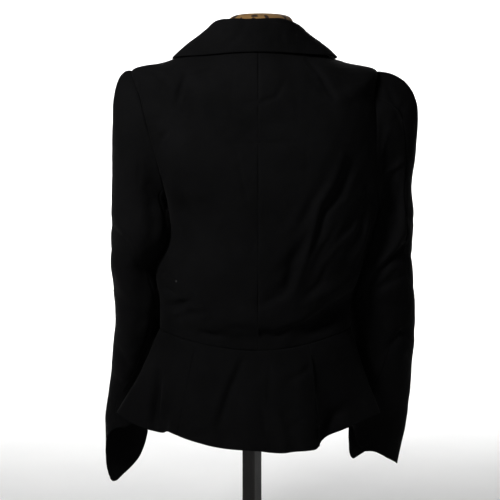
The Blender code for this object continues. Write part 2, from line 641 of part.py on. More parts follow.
def wall(name, grid, normals, material, collection, top_gap=SEAM_GAP):
    """A closed wall of cloth: its outer side, its inner side, and the rim between them."""
    outer = trimmed(grid, top_gap)
    rows, columns = len(grid), len(grid[0])
    mesh = bmesh.new()
    skins = []
    for depth in (0.0, WALL):
        skins.append([[mesh.verts.new(outer[i][j] - normals[key_of(grid[i][j])] * depth)
                       for j in range(columns)] for i in range(rows)])
    front, back = skins
    for i in range(rows - 1):
        for j in range(columns - 1):
            mesh.faces.new((front[i][j], front[i][j + 1], front[i + 1][j + 1], front[i + 1][j]))
            mesh.faces.new((back[i + 1][j], back[i + 1][j + 1], back[i][j + 1], back[i][j]))
    for i in range(rows - 1):
        mesh.faces.new((front[i + 1][0], back[i + 1][0], back[i][0], front[i][0]))
        mesh.faces.new((front[i][-1], back[i][-1], back[i + 1][-1], front[i + 1][-1]))
    for j in range(columns - 1):
        mesh.faces.new((front[0][j], back[0][j], back[0][j + 1], front[0][j + 1]))
        mesh.faces.new((front[-1][j + 1], back[-1][j + 1], back[-1][j], front[-1][j]))
    return finish(name, mesh, material, collection)


def finish(name, mesh, material, collection):
    """Turn a bmesh into a named object with its faces pointing out."""
    bmesh.ops.remove_doubles(mesh, verts=mesh.verts, dist=1e-6)
    if mesh.calc_volume(signed=True) < 0.0:
        bmesh.ops.reverse_faces(mesh, faces=mesh.faces)
    data = bpy.data.meshes.new(name)
    mesh.to_mesh(data)
    mesh.free()
    data.materials.append(material)
    data.shade_smooth()
    data.set_sharp_from_angle(angle=math.radians(50))
    thing = bpy.data.objects.new(name, data)
    collection.objects.link(thing)
    return thing


# ---------------------------------------------------------------- the dress form and its stand

def form_ring(row):
    """One ring round the form, from its back round its left side to its front and back again."""
    left = []
    for side in (1.0, -1.0):
        axis = row["axis_x"]
        back = Vector((axis, row["back_y"], row["back_z"])) * MM
        front = Vector((axis, row["front_y"], row["front_z"])) * MM
        hind = Vector((axis + side * row["side_x"], row["side_y"] + row["plate"],
                       row["side_z"])) * MM
        fore = Vector((axis + side * row["side_x"], row["side_y"] - row["plate"],
                       row["side_z"])) * MM
        quarter = arc(back, heading(0, side), hind, heading(90, side), FORM_STEPS)
        plate = [hind.lerp(fore, k / PLATE_STEPS) for k in range(1, PLATE_STEPS)]
        half = quarter + plate + arc(fore, heading(FORM_CHEST_TURN, side), front, heading(180, side),
                                     FORM_STEPS)
        left.append(half)
    return left[0] + left[1][-2:0:-1]


def neck_ring(z, half_width, back_y, front_y, count):
    """One ring of the form's neck, with a point for each column of the torso."""
    ring = []
    for k in range(count):
        a = 2.0 * math.pi * k / count
        depth = back_y if math.cos(a) > 0 else -front_y
        ring.append(Vector((FORM_NECK_X + half_width * math.sin(a), depth * math.cos(a), z)) * MM)
    return ring


def form_torso(material, collection):
    """The form's padded body with its neck, closed at the neck's top and at the hip."""
    last = FORM[-1].station
    rings = []
    for k in range(FORM_ROWS + 1):
        station = last * k / FORM_ROWS
        row = {name: smooth(FORM, name, "station", station) for name in Form._fields[1:]}
        row["plate"] = max(row["plate"], 0.0)
        rings.append(form_ring(row))
    count = len(rings[0])
    for z, half_width, back_y, front_y in FORM_NECK:
        rings.insert(0, neck_ring(z, half_width, back_y, front_y, count))
    mesh = bmesh.new()
    loops = [[mesh.verts.new(point) for point in ring] for ring in rings]
    for upper, lower in zip(loops, loops[1:]):
        for k in range(count):
            after = (k + 1) % count
            mesh.faces.new((upper[k], upper[after], lower[after], lower[k]))
    top = mesh.verts.new(Vector((FORM_NECK_X, 0.0, FORM_TOP_Z)) * MM)
    foot = mesh.verts.new(Vector((FORM[-1].axis_x, 0.0, FORM[-1].back_z)) * MM)
    for k in range(count):
        after = (k + 1) % count
        mesh.faces.new((top, loops[0][after], loops[0][k]))
        mesh.faces.new((foot, loops[-1][k], loops[-1][after]))
    return finish("form_torso", mesh, material, collection)


def prism(name, radius, low, high, sides, material, collection, rounding=0.0, turn=0.0):
    """An upright prism or cylinder on the form's axis, turned, with its edges rounded if asked."""
    mesh = bmesh.new()
    bmesh.ops.create_cone(mesh, cap_ends=True, segments=sides, radius1=radius, radius2=radius,
                          depth=high - low)
    bmesh.ops.rotate(mesh, verts=mesh.verts, matrix=Matrix.Rotation(math.radians(turn), 3, "Z"))
    bmesh.ops.translate(mesh, verts=mesh.verts, vec=(0.0, 0.0, (low + high) / 2.0))
    thing = finish(name, mesh, material, collection)
    if rounding:
        bevel = thing.modifiers.new("rounded edges", "BEVEL")
        bevel.width = rounding
        bevel.segments = 2
        bevel.limit_method = "ANGLE"
    return thing


def button(place, outward, material, collection, cutters):
    """A four-hole button: a turned disc with a raised rim, its back on the cloth."""
    profile = [(0.0, BUTTON_THICKNESS - BUTTON_DISH),
               (BUTTON_RADIUS - 2 * BUTTON_RIM, BUTTON_THICKNESS - BUTTON_DISH),
               (BUTTON_RADIUS - BUTTON_RIM, BUTTON_THICKNESS),
               (BUTTON_RADIUS - BUTTON_RIM / 3, BUTTON_THICKNESS - BUTTON_RIM / 4),
               (BUTTON_RADIUS, BUTTON_THICKNESS / 2),
               (BUTTON_RADIUS - BUTTON_RIM / 2, 0.0),
               (0.0, 0.0)]
    data = bpy.data.meshes.new("button")
    data.from_pydata([(r, 0.0, z) for r, z in profile],
                     [(k, k + 1) for k in range(len(profile) - 1)], [])
    data.materials.append(material)
    thing = bpy.data.objects.new("button", data)
    collection.objects.link(thing)
    turned = thing.modifiers.new("turned", "SCREW")
    turned.steps = BUTTON_STEPS
    turned.render_steps = BUTTON_STEPS
    turned.use_merge_vertices = True
    turned.merge_threshold = 0.00001
    for k in range(4):
        a = math.pi / 4 + k * math.pi / 2
        mesh = bmesh.new()
        bmesh.ops.create_cone(mesh, cap_ends=True, segments=10, radius1=BUTTON_HOLE_RADIUS,
                              radius2=BUTTON_HOLE_RADIUS, depth=4 * BUTTON_THICKNESS)
        bmesh.ops.translate(mesh, verts=mesh.verts,
                            vec=(BUTTON_HOLE_SPREAD * math.cos(a),
                                 BUTTON_HOLE_SPREAD * math.sin(a), 0.0))
        cutter = finish("button_hole_%d" % (k + 1), mesh, material, cutters)
        cutter.hide_render = True
        cutter.display_type = "WIRE"
        cutter.parent = thing
        hole = thing.modifiers.new("hole", "BOOLEAN")
        hole.object = cutter
    thing.location = place
    thing.rotation_euler = outward.to_track_quat("Z", "Y").to_euler()
    return thing


# ---------------------------------------------------------------- build

def material(name, colour, roughness):
    """A plain material with the colour and roughness of one kind of piece."""
    made = bpy.data.materials.new(name)
    made.use_nodes = True
    shader = made.node_tree.nodes["Principled BSDF"]
    shader.inputs["Base Color"].default_value = (*colour, 1.0)
    shader.inputs["Roughness"].default_value = roughness
    return made


def main():
    for thing in list(bpy.data.objects):
        bpy.data.objects.remove(thing)
    collection = bpy.data.collections.new("blazer_on_dress_form")
    cutters = bpy.data.collections.new("cutters")
    for group in (collection, cutters):
        bpy.context.scene.collection.children.link(group)

    suiting = material("black suiting", (0.008, 0.008, 0.009), 0.8)
    horn = material("button horn", (0.012, 0.011, 0.010), 0.35)
    jersey = material("form jersey", (0.30, 0.17, 0.06), 0.85)
    post_paint = material("post paint", (0.05, 0.042, 0.035), 0.4)
    enamel = material("base enamel", (0.02, 0.02, 0.02), 0.45)

    back_left = back_panel(BACK_EDGE_LEFT, 1.0)
    back_right = back_panel(BACK_EDGE_RIGHT, -1.0)
    front_left = front_panel(FRONT_EDGE_LEFT, back_left, 1.0, -1.0)
    front_right = front_panel(FRONT_EDGE_RIGHT, back_right, -1.0, 1.0)

    panels = {}
    panels["back_left"] = [row[::-1] for row in back_left]
    panels["back_right"] = back_right
    panels["front_left"] = [row[::-1] for row in front_left]
    panels["front_right"] = front_right

    sleeves = {}
    for side, sign, back, front, arm in (("left", 1.0, back_left, front_left, LEFT_ARM),
                                         ("right", -1.0, back_right, front_right, RIGHT_ARM)):
        loop = [back[k][-1] for k in range(ARMHOLE_ROW, UNDERARM_ROW + 1)]
        loop += [front[k][0] for k in range(UNDERARM_ROW - 1, ARMHOLE_ROW, -1)]
        top, under = sleeve_panels(sleeve(loop, arm, sign), arm["hind_column"])
        if side == "left":
            top, under = [row[::-1] for row in top], [row[::-1] for row in under]
        sleeves[side] = {"sleeve_%s_top" % side: top, "sleeve_%s_under" % side: under}

    waist_back = back_left[-1][:0:-1] + back_right[-1]
    seams = [k for k, point in enumerate(waist_back) if abs(point.x) < PEPLUM_SEAM_X * MM]
    first, last = seams[0], seams[-1]
    panels["peplum_back"] = peplum_panel(waist_back[first:last + 1])
    left_run = front_left[-1][::-1] + waist_back[1:first + 1]
    right_run = waist_back[last:] + front_right[-1][1:]
    panels["peplum_front_left"] = peplum_panel(left_run, 1.0, -1.0)
    panels["peplum_front_right"] = peplum_panel(right_run, -1.0, 1.0)

    for group, top_gap in ((panels, SEAM_GAP), (sleeves["left"], ARMHOLE_GAP),
                           (sleeves["right"], ARMHOLE_GAP)):
        normals = shared_normals(group.values())
        for name, grid in group.items():
            wall(name, grid, normals, suiting, collection, top_gap)

    collar = collar_grid()
    wall("collar", collar, shared_normals([collar]), suiting, collection)
    for side, front, sign, last_station in (("left", front_left, 1.0, LAPEL_END_LEFT),
                                            ("right", front_right, -1.0, LAPEL_END_RIGHT)):
        grid = lapel_grid(front, sign, last_station)
        if side == "left":
            grid = [row[::-1] for row in grid]
        wall("lapel_" + side, grid, shared_normals([grid]), suiting, collection)

    form_torso(jersey, collection)
    bottom = FORM[-1].back_z * MM
    prism("form_pole", POST_SIDE / math.sqrt(2.0), BASE_THICKNESS + SEAM_GAP, bottom - SEAM_GAP, 4,
          post_paint, collection, POST_ROUNDING, POST_TURN)
    prism("form_base", BASE_RADIUS, 0.0, BASE_THICKNESS, 48, enamel, collection, BASE_ROUNDING)

    seat, outward = seat_on(front_right, BUTTON_X, BUTTON_Z)
    button(seat + outward * SEAM_GAP, outward, horn, collection, cutters)


main()
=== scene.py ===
"""A black women's blazer with a wide collar, a waist seam and a flared peplum, on a limbless
dress form with a square post and a round base.

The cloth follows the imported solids: the tables and lofts are the part's own, read at a finer
step, and then creased, turned in at the seams and given its thickness. Metres, +Z up, the
front faces -Y and the wearer's left is +X. Tables are in millimetres.
"""

import math
from collections import namedtuple

import bmesh
import bpy
import numpy as np
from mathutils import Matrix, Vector


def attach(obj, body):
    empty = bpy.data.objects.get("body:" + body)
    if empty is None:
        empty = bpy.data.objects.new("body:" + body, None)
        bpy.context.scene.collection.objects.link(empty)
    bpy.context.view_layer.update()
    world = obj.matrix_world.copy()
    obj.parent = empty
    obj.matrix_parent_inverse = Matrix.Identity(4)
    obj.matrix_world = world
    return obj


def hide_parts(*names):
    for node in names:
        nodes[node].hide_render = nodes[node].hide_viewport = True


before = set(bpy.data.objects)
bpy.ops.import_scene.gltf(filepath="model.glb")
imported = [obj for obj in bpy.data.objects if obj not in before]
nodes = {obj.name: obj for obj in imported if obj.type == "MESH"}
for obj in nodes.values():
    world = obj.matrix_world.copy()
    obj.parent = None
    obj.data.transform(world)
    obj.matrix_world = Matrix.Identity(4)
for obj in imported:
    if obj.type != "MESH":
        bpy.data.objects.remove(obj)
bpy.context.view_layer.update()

MM = 0.001

# ---------------------------------------------------------------- driving dimensions (metres)

CELL = 0.0028                # the cloth's mesh, along and across
CLOTH = 0.0013               # the cloth's own thickness
SEAM_HALF = 0.00017          # half the gap between two pieces that are sewn together
ARMHOLE_HALF = 0.0007        # the sleeve stands this far off the armhole
SEAM_TURN = 0.0008           # a seamed edge turns in by this much
SEAM_TURN_WIDTH = 0.0024     # over this width
SEAM_HOLD = 0.005            # and holds creases flat this near to it
HOLD_EASE = 0.7              # which then rise quickly away from it
SEAM_ALLOWANCE = 0.0013      # the inner side runs on past a seam by this much
ARMHOLE_ALLOWANCE = 0.0022
SLIM_SHARE = 0.3             # a panel's area is at least this share of the strip it is cut from
EDGE_ROUNDING = 0.0005       # both sides of a free edge turn in by this much
EDGE_PLACES = (0.0, 0.0004, 0.0010, 0.0018)   # closer rows of the mesh beside an edge

BUTTON_X = 0.0
BUTTON_Z = 0.488
BUTTON_GAP = 0.0003          # between the button and the front
BUTTON_THICKNESS = 0.0042
BUTTON_DISH = 0.0012         # how far its middle is sunk
BUTTON_HOLE_SPREAD = 0.0028  # from its centre to each of its four holes
HOLE_START = 0.004           # the buttonhole begins this far past the button's centre
HOLE_LENGTH = 0.022
HOLE_STITCHES = 26           # along each of its sides
STITCH_RADIUS = 0.00028
# a stitch's bends: up from the slit, and lift off the cloth
STITCH_BENDS = ((0.0002, 0.0001), (0.00095, 0.0006), (0.0017, 0.0001))
THREAD_RADIUS = 0.0003
THREAD_BESIDE = 0.0003       # each pair of holes has two strands, this far to either side
# a strand's bends: shares of the way from the middle to a hole, and lift off the button
THREAD_BENDS = ((-1.0, -0.0006), (-0.7, 0.0004), (0.0, 0.0007), (0.7, 0.0004), (1.0, -0.0006))

CAMERA_FROM = (0.0031, 2.0885, 0.7710)
CAMERA_TO = (0.0031, 0.0, 0.5515)
CAMERA_LENS = 98.3           # millimetres, on a 36 mm sensor

FLOOR_SIZE = 24.0            # of the floor, and the width of the backdrop
FLOOR_STEPS = 24
WALL_FOOT = -3.6             # how far along y the backdrop begins to rise
WALL_CURVE = 1.2             # the radius of its bend
WALL_RISE = 5.0              # its height above the bend
WALL_STEPS = 40
WALL_LIFT = 0.002            # its foot lies this far over the floor

SURROUND = 0.10              # brightness of the white surround


def table_of(kind, rows):
    """Rows of values, with the names of their columns."""
    return [kind(*row) for row in rows]


Lamp = namedtuple("Lamp", "name place aim size spread power")
LAMPS = table_of(Lamp, (
    ("key", (0.54, 0.78, 1.27), (0.0, 0.0, 0.60), 0.28, 180, 11.5),
    ("backdrop light left", (2.6, -1.6, 2.2), (0.0, -4.2, 0.2), 1.5, 128, 105.0),
    ("backdrop light right", (-2.6, -1.6, 2.2), (0.0, -4.2, 0.2), 1.5, 128, 105.0),
    ("front fill", (-1.2, -2.4, 1.9), (0.0, 0.0, 0.5), 1.2, 180, 12.0)))

SIDES = {"left": 1.0, "right": -1.0}         # the wearer's sides, and which way each is in x

# steps of the coarse panels that carry the cloth, as in the solids
SHOULDER_STEPS = 6           # from the neck to the shoulder point
ARMHOLE_STEPS = 10           # from the shoulder point to the underarm
SIDE_STEPS = 13              # from the underarm to the waist
BACK_STEPS = 16              # from the centre back to the side
FRONT_STEPS = 10             # from the side to the front edge
PEPLUM_STEPS = 8             # from the waist to the hem
HEAD_STEPS = 7               # from the armhole to the upper sleeve
SLEEVE_STEPS = 16            # from the upper sleeve to the cuff

# ---------------------------------------------------------------- tables (millimetres, degrees)

# The bodice has a row of cloth for each station, from the neck (0) over the shoulder point (3)
# and the underarm (9) to the waist seam (13).
SHOULDER_POINT = 3
UNDERARM = 9
WAIST = 13

CENTRE_X = -9.0              # the centre back seam stands a little to the wearer's right
TORSO_HALF_WIDTH = 0.150     # metres: the oval that tells which way is out of the torso
TORSO_HALF_DEPTH = 0.105

# centre back line: depth and height at each station
CentreBack = namedtuple("CentreBack", "station y z")
CENTRE_BACK = table_of(CentreBack, (
    (0, 58, 856), (1, 73, 832), (2, 85, 806), (3, 93, 778), (4, 98, 751), (5, 102, 722),
    (6, 105, 690), (7, 106, 657), (8, 106, 633), (9, 105, 610), (10, 102, 562), (11, 99, 510),
    (11.6, 98, 478), (12, 100, 459), (12.4, 99, 444), (12.7, 93, 430), (13, 92, 411)))

# the back panels' outer edges: shoulder seam, back of the armhole, side seam.
# turn is the way the cloth heads there, from sideways (0) to straight forward (90).
Edge = namedtuple("Edge", "station x y z turn")
BACK_EDGE_LEFT = table_of(Edge, (
    (0, 66, 8, 866, 90), (1, 102, 3, 848, 90), (2, 140, 0, 836.5, 90), (3, 182, 0, 826, 90),
    (4, 171, 27, 792, 64), (5, 160, 44, 752, 56), (6, 148, 53, 710, 55), (7, 138, 50, 672, 62),
    (8, 131, 36, 641, 76), (9, 128, 12, 619, 88), (10, 125, 9, 572, 90), (11, 147, 9, 522, 90),
    (12, 142, 9, 475, 90), (13, 142, 8, 432, 90)))
BACK_EDGE_RIGHT = table_of(Edge, (
    (0, -82, 8, 866, 90), (1, -112, 3, 848, 90), (2, -147, 0, 836.5, 90), (3, -188, 0, 825, 90),
    (4, -184, 27, 790, 60), (5, -185, 44, 752, 50), (6, -186, 52, 712, 46), (7, -187, 54, 672, 48),
    (8, -190, 50, 640, 55), (9, -190, 40, 614, 66), (10, -179, 43, 572, 72),
    (11, -165, 38, 525, 78), (12, -154, 22, 480, 84), (13, -152, 10, 436, 88)))

# the front panels' outer edges, where they differ from the back's: the front of the armhole.
# turn goes on from straight forward (90) to straight across the chest (180).
FRONT_EDGE_LEFT = table_of(Edge, (
    (0, 66, 8, 866, 92), (1, 102, 3, 848, 92), (2, 140, 0, 836.5, 92), (3, 182, 0, 826, 96),
    (4, 166, -24, 792, 118), (5, 154, -42, 752, 128), (6, 146, -50, 708, 132),
    (7, 142, -42, 666, 126), (8, 135, -16, 636, 108), (9, 128, 12, 619, 96), (10, 125, 9, 572, 92),
    (11, 147, 9, 522, 90), (12, 142, 9, 475, 90), (13, 142, 8, 432, 90)))
FRONT_EDGE_RIGHT = table_of(Edge, (
    (0, -82, 8, 866, 92), (1, -112, 3, 848, 92), (2, -147, 0, 836.5, 92), (3, -188, 0, 825, 96),
    (4, -176, -24, 790, 118), (5, -165, -42, 752, 128), (6, -158, -50, 708, 132),
    (7, -158, -42, 664, 132), (8, -170, -8, 632, 140), (9, -190, 40, 614, 138),
    (10, -179, 43, 572, 132), (11, -165, 38, 525, 124), (12, -154, 22, 480, 106),
    (13, -152, 10, 436, 92)))

# the front panels' inner edges: the roll line of the lapel, then the buttoned front edge,
# which passes the centre so that the right front laps over the left. x is out from the centre.
FrontEdge = namedtuple("FrontEdge", "station x y z")
FRONT_EDGE = table_of(FrontEdge, (
    (0, 67, -4, 862), (1, 63, -26, 841), (2, 58, -48, 815), (3, 52, -68, 786), (4, 46, -86, 756),
    (5, 39, -102, 722), (6, 31, -115, 686), (7, 22, -123, 650), (8, 14, -127, 622),
    (9, 5, -128, 594), (10, -12, -126, 556), (11, -22, -121, 515), (12, -22, -118, 466),
    (13, -22, -116, 420)))
FRONT_FLAT = 22.0            # the cloth runs nearly flat for this far before its front edge
FRONT_FLAT_SHARE = 0.3       # or for this share of the panel's width, where that is less
FRONT_RECEDE = 1.7           # and turns back by this much in it
NECK_CENTRE_X = -8.0         # the neck opening's middle; the roll lines start from it
LAP = 1.4                    # the fronts part by this much, each way, where they overlap
LAP_HALF_WIDTH = 26.0        # out to here from the centre
LAP_FADE = 28.0              # and come together again over this width
LAP_STATION = 8.0            # the lap begins at this station
LAP_GROWTH = 1.4             # and is full this many stations further down
HEM_PARTING = 0.8            # the share by which the peplum's lap opens more at the hem

# soft folds in the back, as troughs (depth over 0) and ridges (under 0) along short lines,
# seen from behind: x and z of each bend, then the depth and the half width.
Fold = namedtuple("Fold", "line depth width")
BACK_FOLDS = table_of(Fold, (
    (((-97, 657), (-83, 620), (-70, 593)), 3.5, 12.0),
    (((-80, 585), (-62, 545), (-52, 508), (-15, 482)), 5.5, 12.0),
    (((-148, 694), (-133, 642), (-104, 612), (-97, 568), (-78, 530)), 5.5, 12.0),
    (((-167, 664), (-162, 612), (-137, 580), (-108, 545), (-72, 474)), 5.0, 12.0),
    (((-178, 635), (-169, 590), (-147, 553), (-130, 524)), 3.5, 10.0),
    (((-142, 476), (-118, 452), (-76, 436)), 10.0, 14.0),
    (((101, 815), (92, 790), (85, 764)), 3.0, 10.0),
    (((105, 655), (84, 600), (64, 560)), 2.5, 12.0),
    (((136, 484), (108, 473), (84, 456)), 4.0, 9.0),
    (((-82, 824), (-104, 800), (-120, 768)), 3.0, 9.0),
))

# the peplum's hem before its flutes, and each flute's angle from the centre back
HEM_HALF_WIDTH = 184.0
HEM_BACK_Y = 119.0
HEM_FRONT_Y = -150.0
HEM_CENTRE_Y = -5.0
Flute = namedtuple("Flute", "angle reach spread")
PEPLUM_FLUTES = table_of(Flute, (
    (80, 30, 8.5), (62, -13, 6), (107, -30, 13), (42, 5, 9), (18, -6, 8), (0, 4, 8),
    (-20, 6, 7), (-37, 7, 6), (-54, -17, 8), (-79, 20, 8), (-106, -30, 13), (140, 7, 12),
    (-140, 7, 12), (160, -4, 9), (-160, -4, 9)))
HemHeight = namedtuple("HemHeight", "angle z")
HEM_HEIGHTS = table_of(HemHeight, (
    (-180, 282), (-140, 286), (-106, 300), (-79, 304), (-60, 284), (-52, 273), (-45, 266),
    (-34, 264), (-15, 263), (0, 267), (20, 267), (34, 275), (46, 283), (56, 286), (64, 280),
    (72, 289), (80, 304), (107, 296), (140, 286), (180, 282)))
PEPLUM_SEAM_X = 87.0         # the two side-back seams of the peplum, measured at the waist
FLARE_EASE = 0.9             # the peplum flares almost evenly on its way down
FLUTE_EASE = 1.7             # and its flutes open mostly near the hem

# the sleeves hang from the armholes: centre, half widths and turn of each section
Section = namedtuple("Section", "z x y half_x half_y turn")
SLEEVE_LEFT = table_of(Section, (
    (600, 173, 6, 43, 58, 0), (565, 172.5, 2, 44, 58, -6), (528, 182.5, -4, 33.5, 56, -8),
    (478, 179.5, -14, 34, 53, 0), (438, 181.5, -24, 33, 51, 0), (379, 190, -45, 31, 47, 0),
    (329, 197, -62, 30, 44, 4), (275, 204.5, -76, 31.5, 41, 8), (215, 202.5, -86, 35.5, 39, 10)))
SLEEVE_RIGHT = table_of(Section, (
    (600, -210.5, -12, 38.5, 54, 4), (560, -202.5, -12, 45.5, 54, 0), (520, -203, -14, 46, 54, 0),
    (487, -202, -22, 51, 53, 0), (423, -207, -34, 49, 49, 0), (352, -209, -54, 45, 44, 0),
    (300, -205, -67, 45.5, 39, 0), (257, -201, -76, 44.5, 35, 0), (212, -196, -82, 40, 33, 0)))
# how far the cuff edge drops or rises from its last section, by the angle round the sleeve
Cuff = namedtuple("Cuff", "angle drop")
CUFF_LEFT = table_of(Cuff, (
    (0, -12), (45, -42), (90, -50), (135, -70), (180, -40), (225, 14), (270, 46), (315, 56),
    (360, -12)))
CUFF_RIGHT = table_of(Cuff, (
    (0, 19), (45, 6), (90, -10), (130, -20), (158, -52), (185, -30), (207, 10), (230, 14),
    (255, 6), (285, 8), (315, 16), (360, 19)))
SLEEVE_FOLDS_LEFT = table_of(Fold, (
    (((214, 574), (190, 540), (158, 500)), 5.0, 13.0),
    (((150, 668), (146, 618), (150, 560)), 3.0, 10.0),
    (((196, 470), (172, 452), (160, 440)), 4.0, 9.0),
    (((212, 400), (196, 372), (180, 352)), 3.0, 9.0),
))
SLEEVE_FOLDS_RIGHT = table_of(Fold, (
    (((-222, 735), (-216, 680), (-212, 610), (-204, 555)), 11.0, 17.0),
    (((-240, 556), (-214, 522), (-184, 498)), 7.0, 14.0),
    (((-236, 466), (-214, 470), (-186, 474)), 3.0, 12.0),
    (((-240, 430), (-226, 420), (-206, 396)), 4.0, 8.0),
))
HEAD_EASE = 1.25             # the cloth's steps over the sleeve head are closer at the armhole
UNDERARM_PULL = 1.1          # how far the cloth stands out below the armhole
UNDERARM_FALL = 0.4          # and how steeply it falls there
ARM_PULL = 1.1               # how straight the cloth comes down into the upper arm
CUFF_SHARE = 0.6             # the slant of the cuff begins at this share of the sleeve's length
HIND_GAIN = 1.6              # the folds are full on the hind side, and gone at the sleeve's edges
UNDER_COLUMNS = 8            # columns in an under sleeve
# lag is how far the columns opposite the hind seam are held back, towards the underarm
HindSeam = namedtuple("HindSeam", "z angle lag")
HIND_SEAM_LEFT = table_of(HindSeam, (
    (215, 46, 0), (275, 60, 0), (304, 76, 0), (348, 102, 0), (400, 124, 0), (478, 144, 0),
    (529, 150, 4), (600, 152, 12)))
HIND_SEAM_RIGHT = table_of(HindSeam, (
    (212, 112, 0), (328, 113, 0), (363, 97, 0), (400, 85, 0), (424, 69, 4), (449, 58, 12),
    (480, 46, 0), (540, 45, 10), (600, 44, 65)))

# hind_column is the column of cloth at which the hind seam leaves the armhole. The sleeve head
# stands out past the shoulder by head_pull, rises from it by head_rise, and comes back in above
# the upper arm by head_draw.
Arm = namedtuple("Arm", "sections cuff folds seam hind_column head_pull head_rise head_draw")
ARMS = {
    "left": Arm(SLEEVE_LEFT, CUFF_LEFT, SLEEVE_FOLDS_LEFT, HIND_SEAM_LEFT, 8, 0.62, 0.20, 0.12),
    "right": Arm(SLEEVE_RIGHT, CUFF_RIGHT, SLEEVE_FOLDS_RIGHT, HIND_SEAM_RIGHT, 2, 1.42, -0.08,
                 0.20)}

# collar: seam to the neck, top of the roll, and outer edge, from the centre back to the notch
Collar = namedtuple("Collar", "seam_x seam_y seam_z roll_x roll_y roll_z edge_x edge_y edge_z")
COLLAR_LEFT = table_of(Collar, (
    (-9, 57, 857.5, -9, 62, 900, -9, 66, 851),
    (26, 54, 859, 24, 58, 900.5, 29, 62, 850),
    (52, 36, 863, 50, 42, 898, 78, 44, 846.5),
    (65, 8, 868, 65, 12, 889, 117, 14, 845.5),
    (65, -8, 862, 66, -12, 877, 119, -20, 842),
    (62, -25, 846, 61, -30, 857, 102, -37, 838)))
COLLAR_RIGHT = table_of(Collar, (
    (-9, 57, 857.5, -9, 62, 900, -9, 66, 851),
    (-44, 54, 859, -42, 56, 900, -47, 62, 850),
    (-69, 36, 863, -67, 39, 893, -92, 44, 848),
    (-81, 8, 868, -82, 12, 882.5, -127, 14, 846.5),
    (-81, -8, 862, -82, -12, 875, -127, -20, 844),
    (-78, -25, 846, -77, -30, 856, -116, -38, 838)))
COLLAR_ROLL = 3.0            # half the width of the fold at the top of the collar
COLLAR_BULGE = 0.4           # how round its fall is, as a share of that
# places down the fall, as shares of it, and how much of the bulge each has
COLLAR_FALL = ((0.3, 0.8), (0.65, 1.0))
COLLAR_STAND_SHARE = 0.55    # and one place up the stand

# lapels: how wide each is at stations along the roll line
LapelWidth = namedtuple("LapelWidth", "station width")
LAPEL_WIDTHS = table_of(LapelWidth, (
    (1.25, 62), (1.9, 86), (3, 78), (5, 62), (7, 46), (9, 28), (10.6, 9)))
LAPEL_LIFT = 1.9             # between a lapel and the front that it lies on
LAPEL_END_LEFT = 9.1         # the left lapel goes under the right front here
LAPEL_END_RIGHT = 10.4       # and the right one ends at the button
# the fold at the roll line: back from it towards the side, and out of the front
LAPEL_FOLD = ((-0.2, 0.0), (-1.0, 0.2), (-1.3, 0.9), (-0.8, 1.5), (0.5, 1.7))
LAPEL_SHARES = (0.15, 0.36, 0.58, 0.79, 1.0)  # places across the lapel, as shares of its width

# Creases of the cloth, as soft troughs (depth over 0) and ridges (under 0) along short lines.
# They are placed by the side that they are seen from: across and z of each bend, where across
# is x from the back and the front, and y from the wearer's left and right.
Crease = namedtuple("Crease", "seen line depth width")


def seen_from(side, rows):
    """Creases that are seen from one side, as rows of line, depth and half width."""
    return [Crease(side, *row) for row in rows]


